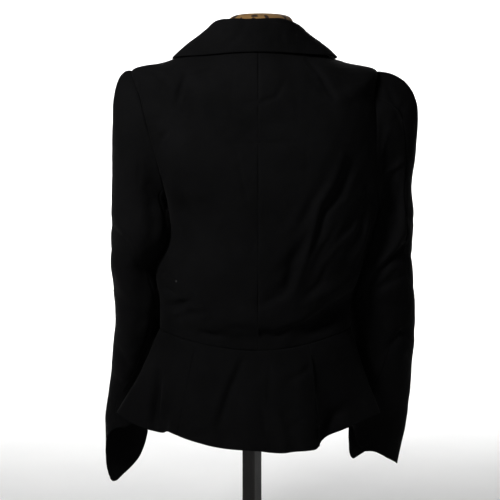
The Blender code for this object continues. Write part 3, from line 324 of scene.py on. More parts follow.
BODY_CREASES = seen_from("back", (
    # the drag lines from the right armhole down to the waist
    (((-114, 686), (-103, 657), (-88, 630), (-75, 605), (-65, 587)), 2.0, 7.0),
    (((-132, 700), (-118, 662), (-97, 630), (-90, 594), (-80, 552), (-62, 500)), -4.1, 5.0),
    (((-83, 583), (-71, 560), (-59, 538), (-56, 515), (-48, 496), (-15, 481)), 3.1, 6.0),
    (((-148, 693), (-136, 655), (-119, 630), (-106, 618), (-100, 590), (-84, 551)), 2.9, 4.5),
    (((-154, 675), (-143, 654), (-139, 637), (-124, 624), (-115, 610)), -2.2, 4.0),
    (((-127, 601), (-113, 574), (-101, 557), (-89, 530)), 3.1, 5.0),
    (((-162, 648), (-158, 625), (-150, 592), (-122, 562), (-104, 538), (-88, 508)), -3.4, 5.0),
    (((-159, 633), (-155, 609), (-146, 591), (-131, 574)), 2.4, 4.0),
    (((-172, 655), (-164, 614), (-163, 593), (-152, 573), (-140, 555)), 2.7, 4.0),
    (((-175, 624), (-171, 594), (-164, 564), (-147, 539)), -3.1, 5.0),
    (((-180, 647), (-180, 593), (-173, 558), (-157, 526)), 3.4, 4.5),
    (((-109, 537), (-103, 514), (-86, 496), (-71, 482)), 2.2, 5.0),
    (((-71, 568), (-49, 539), (-24, 517)), 1.7, 8.0),
    (((-70, 649), (-56, 613), (-41, 593)), 1.2, 9.0),
    # under the collar and round the shoulder blades
    (((-82, 839), (-101, 818), (-111, 798), (-121, 782)), 4.6, 4.0),
    (((-47, 807), (-35, 785), (-15, 778), (10, 776)), 2.6, 4.0),
    (((-138, 792), (-146, 782), (-153, 773)), 0.85, 5.0),
    (((98, 818), (105, 795), (112, 770)), 6.0, 3.5),
    (((95, 816), (77, 821), (55, 828)), 3.4, 3.0),
    (((92, 804), (74, 813), (59, 819)), 1.2, 3.0),
    (((92, 792), (100, 772), (104, 754)), 1.5, 4.0),
    (((151, 826), (137, 815), (123, 803)), 3.2, 4.0),
    (((136, 781), (134, 804)), 1.0, 5.0),
    (((158, 748), (146, 753), (132, 754)), 1.5, 3.0),
    (((143, 744), (150, 729)), 1.4, 3.0),
    (((124, 735), (133, 726), (137, 713)), 3.4, 4.0),
    (((82, 722), (73, 701)), 0.68, 6.0),
    (((22, 708), (18, 679), (9, 642), (7, 627)), 1.0, 3.0),
    (((121, 707), (107, 648), (90, 610), (73, 581)), 2.0, 9.0),
    (((44, 597), (50, 548)), 0.85, 4.0),
    (((112, 532), (85, 498), (69, 475)), -1.4, 4.0),
    (((-9, 664), (-9, 605), (-6, 576), (6, 549)), 0.85, 3.0),
    # lines that stay from folding and pressing
    (((64, 750), (23, 750)), 0.85, 2.6),
    (((-4, 751), (-48, 746)), 0.68, 2.6),
    (((32, 717), (-9, 718), (-63, 720)), 1.0, 2.6),
    (((-79, 717), (-122, 713), (-176, 714)), 0.77, 2.6),
    (((-65, 803), (-66, 737)), 0.59, 4.0),
    (((-80, 715), (-79, 649)), 0.59, 4.0),
    (((25, 832), (32, 788), (29, 754)), 0.68, 3.0),
    # where the bodice bags over the waist seam
    (((-152, 522), (-116, 500), (-70, 480)), -5.0, 10.0),
    (((-154, 484), (-124, 464), (-84, 446)), 12.0, 13.0),
    (((136, 500), (124, 494), (113, 486)), 5.0, 5.0),
    (((137, 471), (115, 473), (93, 482)), 6.0, 5.0),
    (((117, 452), (96, 463), (70, 466)), 4.4, 5.0),
    (((78, 435), (57, 432), (42, 433)), 4.0, 4.0),
    (((-8, 441), (-34, 433), (-57, 443), (-90, 451)), 4.4, 6.0),
    (((34, 445), (20, 446), (6, 443)), 2.6, 5.0),
    (((70, 450), (60, 460)), 1.4, 4.0),
)) + seen_from("front", (
    # the front, drawn in by its button
    (((13, 491), (48, 498), (92, 520)), 2.5, 6.0),
    (((13, 484), (55, 476), (104, 470)), 2.2, 6.0),
    (((-13, 492), (-52, 503), (-100, 530)), 2.9, 6.0),
    (((-13, 484), (-58, 473), (-116, 462)), 2.4, 6.0),
    (((-18, 500), (-66, 538), (-118, 584)), 1.9, 8.0),
    (((16, 502), (52, 536), (86, 566)), 1.5, 8.0),
    (((148, 700), (124, 664), (104, 640)), 2.0, 8.0),
    (((-154, 700), (-128, 660), (-108, 640)), 2.2, 8.0),
    (((130, 606), (108, 590), (78, 556)), 1.7, 9.0),
    (((-168, 606), (-134, 578), (-104, 550)), 2.5, 9.0),
    (((-172, 570), (-146, 540), (-122, 520)), 2.0, 7.0),
    (((132, 452), (96, 442), (58, 447)), 2.7, 5.0),
    (((-142, 456), (-104, 444), (-62, 449)), 2.7, 5.0),
    (((150, 806), (136, 780), (128, 752)), 1.2, 7.0),
    (((-158, 806), (-142, 778), (-136, 750)), 1.2, 7.0),
))
PEPLUM_CREASES = seen_from("back", (
    (((141, 366), (146, 326), (148, 284)), 11.0, 6.0),
    (((128, 352), (132, 318), (133, 290)), -3.0, 7.0),
    (((15, 395), (33, 353), (48, 303)), 4.6, 5.0),
    (((25, 395), (45, 350), (62, 303)), -1.7, 6.0),
    (((-49, 365), (-72, 374), (-90, 389)), 2.5, 5.0),
    (((-27, 395), (-24, 337)), 1.0, 4.0),
    (((-15, 337), (-19, 293), (-30, 282)), 1.7, 4.0),
    (((-72, 379), (-72, 332)), -1.5, 7.0),
    (((105, 329), (84, 349)), 1.2, 6.0),
    (((103, 294), (78, 311)), 1.2, 5.0),
    (((-42, 329), (-57, 299)), 2.0, 6.0),
    (((-49, 293), (-72, 309)), 1.4, 5.0),
    (((-100, 281), (-124, 308), (-142, 320)), 8.0, 10.0),
    (((-88, 392), (-104, 352), (-118, 326)), 3.0, 12.0),
    (((93, 285), (70, 288)), 1.4, 4.0),
)) + seen_from("front", (
    (((60, 400), (66, 350), (74, 300)), 2.0, 8.0),
    (((-58, 400), (-64, 352), (-76, 300)), 2.4, 8.0),
    (((112, 380), (118, 340), (126, 305)), 2.2, 8.0),
    (((-112, 384), (-120, 342), (-130, 308)), 2.0, 8.0),
    (((22, 398), (30, 360), (34, 330)), 1.0, 6.0),
    (((-30, 396), (-34, 356), (-32, 326)), 1.2, 6.0),
))
SLEEVE_LEFT_CREASES = seen_from("back", (
    (((213, 589), (193, 571), (174, 543), (157, 506)), 4.1, 6.0),
    (((206, 602), (184, 584), (166, 560)), -1.7, 7.0),
    (((168, 639), (174, 609), (180, 579)), 1.0, 8.0),
    (((160, 662), (153, 643)), 0.85, 6.0),
    (((210, 400), (191, 374)), 1.5, 6.0),
    (((221, 351), (201, 333)), 1.4, 6.0),
    (((180, 445), (159, 425)), 1.5, 7.0),
    (((196, 691), (197, 631)), 0.51, 6.0),
    (((166, 703), (169, 654)), 0.85, 4.0),
    (((158, 617), (146, 631)), 1.0, 7.0),
    (((186, 617), (171, 647)), 0.68, 7.0),
    (((216, 500), (196, 480), (178, 466)), 1.2, 8.0),
)) + seen_from("front", (
    (((206, 566), (188, 548), (164, 532)), 3.4, 7.0),
    (((210, 524), (190, 508), (168, 498)), 2.9, 6.0),
    (((214, 470), (196, 457), (176, 450)), 2.0, 7.0),
    (((224, 392), (206, 372), (190, 362)), 1.7, 8.0),
    (((200, 640), (184, 610), (172, 586)), 1.4, 8.0),
)) + seen_from("back", (
    # its back stays flat as far as its inner side, which rests on the body
    (((141, 636), (140, 616), (138, 592), (143, 556)), -5.5, 8.0),
    (((156, 530), (157, 485), (160, 440), (168, 395)), -5.0, 8.0),
)) + seen_from("right", (
    (((-24, 636), (-20, 600), (-18, 546)), -7.0, 20.0),
    (((-10, 634), (-10, 620), (-10, 606)), -3.4, 11.0),
    (((-20, 440), (-22, 427), (-22, 412)), -3.0, 14.0),
    (((-18, 550), (-18, 530), (-20, 505)), -3.0, 16.0),
    (((-20, 490), (-24, 446), (-26, 400)), -6.4, 20.0),
)) + seen_from("left", (
    (((28, 604), (4, 592), (-26, 602)), 1.5, 8.0),
    (((16, 556), (-10, 540), (-40, 544)), 1.9, 8.0),
    (((4, 506), (-22, 494), (-50, 500)), 1.4, 8.0),
    (((-20, 432), (-48, 414), (-72, 408)), 1.2, 9.0),
))
SLEEVE_RIGHT_CREASES = seen_from("back", (
    (((-202, 808), (-211, 784), (-221, 760), (-225, 743)), 2.9, 4.0),
    (((-237, 784), (-221, 763), (-208, 739)), 1.7, 5.0),
    (((-208, 743), (-198, 714), (-192, 684)), -2.4, 5.0),
    (((-232, 695), (-216, 680), (-199, 666)), -3.7, 4.0),
    (((-231, 683), (-232, 622), (-229, 581), (-213, 554), (-195, 536)), -4.4, 5.0),
    (((-225, 660), (-218, 599), (-202, 560)), 5.1, 8.0),
    (((-234, 562), (-213, 542), (-192, 520), (-179, 504)), 6.8, 5.0),
    (((-233, 534), (-211, 526), (-193, 507)), -3.1, 6.0),
    (((-235, 515), (-211, 506), (-184, 493)), 4.1, 5.0),
    (((-170, 481), (-185, 456), (-206, 427)), 2.2, 7.0),
    (((-225, 427), (-237, 421), (-249, 413)), 2.7, 4.0),
    (((-226, 427), (-215, 402)), 1.5, 5.0),
    (((-240, 388), (-254, 374)), 1.2, 4.0),
    (((-195, 316), (-212, 290)), 0.85, 6.0),
)) + seen_from("front", (
    (((-228, 562), (-206, 542), (-178, 528)), 3.7, 7.0),
    (((-238, 516), (-212, 500), (-182, 494)), 3.1, 6.0),
    (((-242, 464), (-216, 450), (-188, 445)), 2.2, 7.0),
    (((-240, 384), (-216, 366), (-190, 358)), 1.7, 8.0),
    (((-222, 650), (-200, 612), (-188, 590)), 1.5, 8.0),
)) + seen_from("left", (
    # its inner side rests on the body
    (((-22, 470), (-30, 436), (-36, 402)), -3.5, 20.0),
)) + seen_from("back", (
    # the deep hollow behind the arm
    (((-198, 738), (-203, 672), (-203, 610), (-192, 556)), 9.0, 13.0),
)) + seen_from("right", (
    (((30, 604), (6, 592), (-24, 602)), 1.5, 8.0),
    (((18, 556), (-8, 540), (-40, 546)), 1.9, 8.0),
    (((2, 500), (-24, 488), (-54, 494)), 1.4, 8.0),
    (((-16, 430), (-46, 412), (-72, 408)), 1.2, 9.0),
))
COLLAR_CREASES = seen_from("back", (
    (((12, 891), (21, 872), (35, 861)), 1.5, 5.0),
    (((0, 898), (10, 875)), -0.85, 5.0),
    (((55, 884), (77, 866)), 1.0, 7.0),
    (((-41, 883), (-48, 856)), 0.85, 4.0),
    (((-88, 868), (-104, 856)), 0.85, 5.0),
))
SLEEVE_CREASES = {"left": SLEEVE_LEFT_CREASES, "right": SLEEVE_RIGHT_CREASES}

# slow unevenness of worn cloth: how far each wave goes, its length and the way it runs
Wave = namedtuple("Wave", "height length across deep up phase")
WAVES = table_of(Wave, (
    (0.35, 83, 0.8, 0.3, 0.5, 0.4), (0.30, 61, -0.5, 0.6, 0.6, 2.1),
    (0.22, 47, 0.7, 0.5, -0.5, 3.7), (0.18, 37, 0.3, -0.8, 0.5, 5.2),
    (0.12, 29, -0.9, 0.2, 0.4, 1.2), (0.09, 19, 0.6, 0.6, 0.5, 4.4),
    (0.06, 13, -0.4, 0.7, -0.6, 0.9)))


# ---------------------------------------------------------------- curves

def blends(t):
    """The shares of a rise, of its slope at the start and of its slope at the end."""
    return 3 * t * t - 2 * t * t * t, t - 2 * t * t + t * t * t, t * t * t - t * t


def smooth(table, column, key, at):
    """Read a column of a table at any place along its key, on a smooth curve through its rows."""
    keys = [getattr(row, key) for row in table]
    values = [getattr(row, column) for row in table]
    at = min(max(at, keys[0]), keys[-1])
    last = len(keys) - 2
    i = next((k for k in range(last) if at < keys[k + 1]), last)
    slopes = []
    for k in (i, i + 1):
        before, after = max(k - 1, 0), min(k + 1, last + 1)
        slopes.append((values[after] - values[before]) / (keys[after] - keys[before]))
    span = keys[i + 1] - keys[i]
    rise, leave, arrive = blends((at - keys[i]) / span)
    return (values[i] + (values[i + 1] - values[i]) * rise + slopes[0] * span * leave
            + slopes[1] * span * arrive)


def point_at(table, station):
    """The x, y, z of a table at a station, in metres."""
    return Vector([smooth(table, axis, "station", station) for axis in "xyz"]) * MM


def heading(turn, side):
    """A level direction: 0 sideways, 90 forward, 180 back to the centre."""
    angle = math.radians(turn)
    return Vector((side * math.cos(angle), -math.sin(angle), 0.0))


ARC_PULL = 1.5               # how far a curve keeps to its two ways, of its run along each
ARC_LEAST = 0.5              # and at least of its chord


def arc(start, start_way, end, end_way, steps):
    """Points on a smooth curve that leaves start one way and reaches end another way."""
    chord = end - start
    pull_start, pull_end = (way * max(ARC_PULL * abs(chord.dot(way)), ARC_LEAST * chord.length)
                            for way in (start_way, end_way))
    points = []
    for k in range(steps + 1):
        rise, leave, arrive = blends(k / steps)
        points.append(start + chord * rise + pull_start * leave + pull_end * arrive)
    return points


def walk(points, length):
    """The place reached by walking a length along a line of points."""
    for a, b in zip(points, points[1:]):
        step = (b - a).length
        if length <= step:
            return a.lerp(b, length / step)
        length -= step
    return points[-1].copy()


def spline(knots, places):
    """Weights that read a smooth line through points at the knots, at any places along it."""
    last = len(knots) - 1
    weights = np.zeros((len(places), len(knots)))
    for row, place in enumerate(places):
        k = min(max(int(np.searchsorted(knots, place, side="right")) - 1, 0), last - 1)
        span = knots[k + 1] - knots[k]
        rise, leave, arrive = blends((place - knots[k]) / span)
        weights[row, k] += 1.0 - rise
        weights[row, k + 1] += rise
        for middle, slope in ((k, leave), (k + 1, arrive)):
            low, high = max(middle - 1, 0), min(middle + 1, last)
            share = slope * span / (knots[high] - knots[low])
            weights[row, high] += share
            weights[row, low] -= share
    return weights


def knots_of(points, axis):
    """The mean distance along a grid of points at each of its rows or columns."""
    steps = np.linalg.norm(np.diff(points[..., :3], axis=axis), axis=2).mean(axis=1 - axis)
    return np.concatenate([[0.0], np.cumsum(np.maximum(steps, 1e-5))])


CELL_MARGIN = 0.6            # the even places begin this share of a cell inside the closer ones


def places_along(length, low_gap, high_gap):
    """Places a cell apart along a length, with closer ones beside both of its ends."""
    edge = np.array(EDGE_PLACES)
    margin = EDGE_PLACES[-1] + CELL_MARGIN * CELL
    start, stop = low_gap + margin, length - high_gap - margin
    inner = np.linspace(start, stop, max(2, round((stop - start) / CELL) + 1))
    return np.concatenate([low_gap + edge, inner, length - high_gap - edge[::-1]])


FOLD_END = 0.35              # how strongly a fold is felt at its two ends


def felt_along(fold, points, axis=0):
    """How strongly a fold is felt at each point, from 1 on its bent line to 0 far off. The line
    is placed by one level axis and by z."""
    across, up = points[..., axis] / MM, points[..., 2] / MM
    nearest = np.full(across.shape, 1e9)
    along = np.zeros(across.shape)
    for k, (a, b) in enumerate(zip(fold.line, fold.line[1:])):
        run, fall = b[0] - a[0], b[1] - a[1]
        t = np.clip(((across - a[0]) * run + (up - a[1]) * fall) / (run * run + fall * fall), 0, 1)
        gap = np.hypot(across - a[0] - t * run, up - a[1] - t * fall)
        closer = gap < nearest
        nearest = np.where(closer, gap, nearest)
        along = np.where(closer, (k + t) / (len(fold.line) - 1), along)
    fade = FOLD_END + (1.0 - FOLD_END) * np.sin(math.pi * along)
    return fade * np.exp(-(nearest / fold.width) ** 2)


def fold_depth(folds, points):
    """The sum of all folds at points seen from behind, in metres."""
    return sum(fold.depth * felt_along(fold, points) for fold in folds) * MM


# for each side that a crease is seen from: the axis across it, the axis that faces it, and the
# sign that this one then has
VIEWS = {"back": (0, 1, 1.0), "front": (0, 1, -1.0), "left": (1, 0, 1.0), "right": (1, 0, -1.0)}
EDGE_ON = 0.35               # how much of a crease shows on cloth that is seen edge-on
FACING_GAIN = 2.0            # and how fast this grows as the cloth faces the view


def crease_depth(creases, points, normals):
    """The sum of the creases on the sides that they are seen from, in metres."""
    depth = np.zeros(points.shape[:-1])
    for crease in creases:
        across, facing, sign = VIEWS[crease.seen]
        turned = np.clip(EDGE_ON + FACING_GAIN * sign * normals[..., facing], 0.0, 1.0)
        depth += turned * crease.depth * felt_along(crease, points, across)
    return depth * MM


def unevenness(points):
    """Slow waves through the cloth, in metres."""
    height = np.zeros(points.shape[:-1])
    for wave in WAVES:
        way = np.array((wave.across, wave.deep, wave.up))
        way = way / np.linalg.norm(way)
        turns = points @ way / (wave.length * MM)
        height += wave.height * np.sin(2 * math.pi * turns + wave.phase)
    return height * MM


# ---------------------------------------------------------------- the bodice

def stations():
    """The stations of the bodice's rows, from the neck to the waist."""
    rows = []
    for first, last, steps in ((0, SHOULDER_POINT, SHOULDER_STEPS),
                               (SHOULDER_POINT, UNDERARM, ARMHOLE_STEPS),
                               (UNDERARM, WAIST, SIDE_STEPS)):
        rows += [first + (last - first) * k / steps for k in range(steps)]
    return rows + [WAIST]


ARMHOLE_ROW = SHOULDER_STEPS
UNDERARM_ROW = SHOULDER_STEPS + ARMHOLE_STEPS


def torso_outward(points):
    """Straight out of the torso at points of its cloth."""
    way = points * np.array((1.0 / TORSO_HALF_WIDTH ** 2, 1.0 / TORSO_HALF_DEPTH ** 2, 0.0))
    return way / np.linalg.norm(way, axis=-1, keepdims=True)


def back_panel(edge, side):
    """Rows from the centre back to the shoulder seam, armhole and side seam."""
    grid = []
    for station in stations():
        centre = Vector((CENTRE_X, smooth(CENTRE_BACK, "y", "station", station),
                         smooth(CENTRE_BACK, "z", "station", station))) * MM
        turn = smooth(edge, "turn", "station", station)
        grid.append(arc(centre, heading(0, side), point_at(edge, station), heading(turn, side),
                        BACK_STEPS))
    return grid


def pressed_back(points):
    """Points of the back moved in by its folds."""
    return points - torso_outward(points) * fold_depth(BACK_FOLDS, points)[..., None]


def with_folds(row):
    """A row of the back's coarse points, moved in by its folds, for what is sewn to it."""
    return [Vector(point) for point in pressed_back(np.array([tuple(p) for p in row]))]


def front_panel(edge, back, side, lap):
    """Rows from the side seam to the roll line and the front edge."""
    grid = []
    for k, station in enumerate(stations()):
        inner = point_at(FRONT_EDGE, station)
        inner.x = side * inner.x + NECK_CENTRE_X * MM * max(0.0, 1.0 - station / UNDERARM)
        turn = smooth(edge, "turn", "station", station)
        start = point_at(edge, station)
        flat = min(FRONT_FLAT * MM, FRONT_FLAT_SHARE * (inner - start).length)
        knee = inner + Vector((side * flat, 0.0, 0.0))
        row = arc(start, heading(turn, side), knee, heading(180, side), FRONT_STEPS - 2)
        passed = max(-side * inner.x, 0.0) / (FRONT_FLAT * MM)
        inner.y += FRONT_RECEDE * MM * passed ** 3
        row += [knee.lerp(inner, 0.5), inner]
        lower = min(max((station - LAP_STATION) / LAP_GROWTH, 0.0), 1.0)
        for point in row:
            point.y -= lap * lap_share(side * point.x) * lower * LAP * MM
        if not ARMHOLE_ROW < k < UNDERARM_ROW:
            row[0] = back[k][-1].copy()
        grid.append(row)
    return grid


def lap_share(x):
    """How much of the lap's parting a point has, by its distance from the centre front."""
    return min(max(1.0 - (x / MM - LAP_HALF_WIDTH) / LAP_FADE, 0.0), 1.0)


# ---------------------------------------------------------------- peplum

def plain_hem(angle):
    """The peplum's reach at the hem before its flutes, at an angle from the centre back."""
    a = math.radians(angle)
    depth = HEM_BACK_Y - HEM_CENTRE_Y if math.cos(a) > 0 else HEM_CENTRE_Y - HEM_FRONT_Y
    return 1.0 / math.hypot(math.sin(a) / HEM_HALF_WIDTH, math.cos(a) / depth)


def fluted_hem(angle):
    """The peplum's reach at the hem with its flutes."""
    reach = plain_hem(angle)
    for flute in PEPLUM_FLUTES:
        gap = (angle - flute.angle + 180.0) % 360.0 - 180.0
        reach += flute.reach * math.exp(-(gap / flute.spread) ** 2)
    return reach


def peplum_column(top, side, lap):
    """Points from the waist seam down to the hem under one point of the bodice."""
    top = top.copy()
    top.y += lap * lap_share(side * top.x) * LAP * MM
    x, y, z_top = top.x / MM, top.y / MM - HEM_CENTRE_Y, top.z / MM
    angle = math.degrees(math.atan2(x, y))
    a = math.radians(angle)
    waist, plain, fluted = math.hypot(x, y), plain_hem(angle), fluted_hem(angle)
    z_hem = smooth(HEM_HEIGHTS, "z", "angle", angle)
    column = [top]
    for k in range(1, PEPLUM_STEPS + 1):
        t = k / PEPLUM_STEPS
        reach = waist + (plain - waist) * t ** FLARE_EASE + (fluted - plain) * t ** FLUTE_EASE
        column.append(Vector((reach * math.sin(a), HEM_CENTRE_Y + reach * math.cos(a),
                              z_top + (z_hem - z_top) * t)) * MM)
    for k, point in enumerate(column):
        parting = LAP * (1.0 + HEM_PARTING * k / PEPLUM_STEPS)
        point.y -= lap * lap_share(side * point.x) * parting * MM
    return column


def peplum_panel(tops, side=1.0, lap=0.0):
    """A peplum panel under a run of the bodice's lowest points."""
    columns = [peplum_column(top, side, lap) for top in tops]
    return [list(row) for row in zip(*columns)]


# ---------------------------------------------------------------- sleeves

def section_point(section, angle):
    """A point of a sleeve section: 0 is its outer side, 90 its back, 180 next to the body."""
    side = 1.0 if section.x > 0 else -1.0
    a, turn = math.radians(angle), math.radians(section.turn) * side
    x = side * section.half_x * math.cos(a)
    y = section.half_y * math.sin(a)
    return Vector((section.x + x * math.cos(turn) - y * math.sin(turn),
                   section.y + x * math.sin(turn) + y * math.cos(turn), section.z)) * MM


def section_at(table, z):
    """A sleeve's section at a height, on smooth curves through its table."""
    return Section(z, *[smooth(table[::-1], name, "z", z) for name in Section._fields[1:]])


def sleeve_angles(arm, columns, z):
    """The angle of each column of cloth at a height, so that the hind seam keeps its own."""
    hind, lag = smooth(arm.seam, "angle", "z", z), smooth(arm.seam, "lag", "z", z)
    turns = [(k - arm.hind_column) / columns for k in range(columns)]
    return [hind + 360.0 * turn - lag * math.sin(math.pi * turn) ** 2 for turn in turns]


def head_ring(loop, ends, arm, side, t):
    """One ring of the sleeve head, a share of the way from the armhole to the upper sleeve."""
    low, high = min(point.z for point in loop), max(point.z for point in loop)
    rise, leave, arrive = blends(t)
    ring = []
    for start, end in zip(loop, ends):
        out = (start.z - low) / (high - low)
        chord = (end - start).length
        way = Vector((side, 0.0, arm.head_rise * out - UNDERARM_FALL * (1.0 - out)))
        reach = chord * (arm.head_pull * out ** 1.5 + UNDERARM_PULL * (1.0 - out))
        down = Vector((side * arm.head_draw * out, 0.0, -1.0))
        ring.append(start + (end - start) * rise + way.normalized() * reach * leave
                    + down * chord * ARM_PULL * arrive)
    return ring


def arm_ring(section, angles, arm, t):
    """One ring of the sleeve, a share of the way from the upper sleeve to the slanted cuff."""
    slant = max(0.0, (t - CUFF_SHARE) / (1.0 - CUFF_SHARE))
    ring = []
    for angle in angles:
        point = section_point(section, angle)
        point.z -= smooth(arm.cuff, "drop", "angle", angle % 360.0) * MM * slant
        ring.append(point)
    return ring


def sleeve(loop, arm, side):
    """Rings of a sleeve from the armhole's points, over the sleeve head, down to the cuff.

    Each point has its place, the way out of its ring, and how far it is turned to the back."""
    top, foot = arm.sections[0].z, arm.sections[-1].z
    angles = sleeve_angles(arm, len(loop), top)
    ends = [section_point(section_at(arm.sections, top), angle) for angle in angles]
    rings, all_angles = [loop], [angles] * (HEAD_STEPS + 1)
    for step in range(1, HEAD_STEPS + 1):
        rings.append(head_ring(loop, ends, arm, side, (step / HEAD_STEPS) ** HEAD_EASE))
    for step in range(1, SLEEVE_STEPS + 1):
        t = step / SLEEVE_STEPS
        section = section_at(arm.sections, top + (foot - top) * t)
        angles = sleeve_angles(arm, len(loop), section.z)
        rings.append(arm_ring(section, angles, arm, t))
        all_angles.append(angles)
    points = np.array([[tuple(point) for point in ring] for ring in rings])
    ways = points - points.mean(axis=1, keepdims=True)
    ways[..., 2] = 0.0
    ways /= np.linalg.norm(ways, axis=2, keepdims=True)
    behind = np.sin(np.radians(np.array(all_angles)))[..., None]
    behind[0] = 0.0
    return np.concatenate([points, ways, behind], axis=2)


def pressed_sleeve(fine, folds):
    """A sleeve's fine points, moved in by the folds on its hind side."""
    points, ways = fine[..., :3], fine[..., 3:6]
    turned = np.clip(HIND_GAIN * fine[..., 6], 0.0, 1.0)
    return points - ways * (turned * fold_depth(folds, points))[..., None]


def sleeve_panels(rings, hind_column):
    """Cut a sleeve's rings at its hind and fore seams into the top and the under sleeve."""
    columns = rings.shape[1]
    order = [(hind_column + k) % columns for k in range(columns + 1)]
    return rings[:, order[UNDER_COLUMNS:]], rings[:, order[:UNDER_COLUMNS + 1]]


# ---------------------------------------------------------------- collar and lapels

def collar_profile(row):
    """The visible side of the collar at one place: up the stand, over the roll, down the fall."""
    seam, roll, edge = (Vector(row[k:k + 3]) * MM for k in (0, 3, 6))
    across = Vector((edge.x - seam.x, edge.y - seam.y, 0.0)).normalized() * COLLAR_ROLL * MM
    down = Vector((0.0, 0.0, -COLLAR_ROLL * MM))
    inner, outer = roll - across + down, roll + across + down
    bulge = (across - down) * COLLAR_BULGE
    fall = [outer.lerp(edge, share) + bulge * round_here for share, round_here in COLLAR_FALL]
    return [seam, seam.lerp(inner, COLLAR_STAND_SHARE), inner, roll, outer, *fall, edge]


def collar_grid():
    """Profiles from the right notch round the neck to the left notch, two to a row of the
    table."""
    half = []
    placed = namedtuple("Placed", ("place",) + Collar._fields)
    for table in (COLLAR_RIGHT, COLLAR_LEFT):
        rows = [placed(k, *row) for k, row in enumerate(table)]
        places = [k / 2.0 for k in range(2 * len(table) - 1)]
        half.append([collar_profile([smooth(rows, name, "place", place)
                                     for name in Collar._fields]) for place in places])
    return half[0][:0:-1] + half[1]


def lapel_grid(front, side, last):
    """A lapel folded back over its front: the side that faces the front, from the roll line out."""
    grid = []
    for k, station in enumerate(stations()):
        if not LAPEL_WIDTHS[0].station <= station <= last:
            continue
        width = smooth(LAPEL_WIDTHS, "width", "station", station)
        row = front[k]
        back = (row[-2] - row[-1]).normalized()
        along = (front[k + 1][-1] - front[k - 1][-1]).normalized()
        out = (along.cross(back) * side).normalized()
        points = [row[-1] + (back * a + out * b) * MM for a, b in LAPEL_FOLD]
        for share in LAPEL_SHARES:
            points.append(walk(row[::-1], share * width * MM) + out * LAPEL_LIFT * MM)
        grid.append(points)
    return grid


def seat_on(grid, x, z):
    """The place on a front at x and z, and the way out of it there."""
    for upper, lower in zip(grid, grid[1:]):
        for j in range(len(upper) - 1):
            a, b, c, d = upper[j], upper[j + 1], lower[j + 1], lower[j]
            if min(a.x, b.x, c.x, d.x) <= x <= max(a.x, b.x, c.x, d.x) and c.z <= z <= a.z:
                outward = (c - a).cross(b - d).normalized()
                outward = outward if outward.y < 0 else -outward
                middle = (a + b + c + d) / 4.0
                y = middle.y - ((x - middle.x) * outward.x + (z - middle.z) * outward.z) / outward.y
                return Vector((x, y, z)), outward
    raise ValueError("nothing to sit on at %.3f, %.3f" % (x, z))


# ---------------------------------------------------------------- cloth

def outward_of(points, rows, columns):
    """The cloth's outward direction at every point of a fine grid."""
    down = np.gradient(points, rows, axis=0)
    across = np.gradient(points, columns, axis=1)
    normal = np.cross(down, across)
    return normal / np.maximum(np.linalg.norm(normal, axis=2, keepdims=True), 1e-12)


FAR = 1.0                    # metres, further than any panel reaches
# the row or column at each side of a grid, and the one that is the fourth from it
RIM_LINES = {"top": ((0,), (3,)), "foot": ((-1,), (-4,)),
             "first": ((slice(None), 0), (slice(None), 3)),
             "last": ((slice(None), -1), (slice(None), -4))}


def distance_to(away, sides, shape):
    """How far each point of a grid is from the nearest of some of its sides."""
    nearest = np.full(shape, FAR)
    for side in sides:
        nearest = np.minimum(nearest, away[side])
    return nearest


def cloth_piece(name, coarse, creases=(), fold=None, top_gap=SEAM_HALF, free=()):
    """One cut panel: a fine grid through its coarse points, folded, creased, turned in at its
    seams and given the cloth's thickness. Its inner side runs on past each seam as the seam
    allowance does, and its free edges, of top, foot, first and last, are rounded."""
    coarse = np.array([[tuple(point) for point in row] for row in coarse])
    row_knots, column_knots = knots_of(coarse, 0), knots_of(coarse, 1)
    rows = places_along(row_knots[-1], top_gap, SEAM_HALF)
    columns = places_along(column_knots[-1], SEAM_HALF, SEAM_HALF)
    fine = np.einsum("ri,ijc,kj->rkc", spline(row_knots, rows), coarse,
                     spline(column_knots, columns))
    points = fold(fine) if fold else fine[..., :3]
    normals = outward_of(points, rows, columns)

    away = {"top": (rows - rows[0])[:, None], "foot": (rows[-1] - rows)[:, None],
            "first": (columns - columns[0])[None, :], "last": (columns[-1] - columns)[None, :]}
    sewn = [side for side in away if side not in free]
    seam_edge = distance_to(away, sewn, points.shape[:2])
    free_edge = distance_to(away, free, points.shape[:2])
    loose = np.clip(seam_edge / SEAM_HOLD, 0.0, 1.0) ** HOLD_EASE
    points = points - normals * (loose * crease_depth(creases, points, normals))[..., None]
    points = points + normals * (loose * unevenness(points))[..., None]
    normals = outward_of(points, rows, columns)

    turn = SEAM_TURN * np.clip(1.0 - seam_edge / SEAM_TURN_WIDTH, 0.0, 1.0) ** 2
    rounding = EDGE_ROUNDING * np.clip(1.0 - free_edge / EDGE_PLACES[-1], 0.0, 1.0) ** 2
    outer = points - normals * (turn + rounding)[..., None]
    inner = points - normals * (CLOTH - rounding)[..., None]
    for side in sewn:
        edge, beside = RIM_LINES[side]
        way = points[edge] - points[beside]
        way /= np.maximum(np.linalg.norm(way, axis=-1, keepdims=True), 1e-9)
        at_armhole = top_gap > SEAM_HALF and side == "top"
        inner[edge] += way * (ARMHOLE_ALLOWANCE if at_armhole else SEAM_ALLOWANCE)
    uv = np.stack(np.broadcast_arrays(columns[None, :], -rows[:, None]), axis=2)
    cut = (float(column_knots[-1]), float(row_knots[-1]))
    return shell(name, outer, inner, uv), cut, grid_area(points)


def grid_area(points):
    """The area of a grid of points."""
    first = np.cross(points[1:, :-1] - points[:-1, :-1], points[1:, 1:] - points[:-1, :-1])
    second = np.cross(points[1:, 1:] - points[:-1, :-1], points[:-1, 1:] - points[:-1, :-1])
    return float((np.linalg.norm(first, axis=2) + np.linalg.norm(second, axis=2)).sum() / 2)


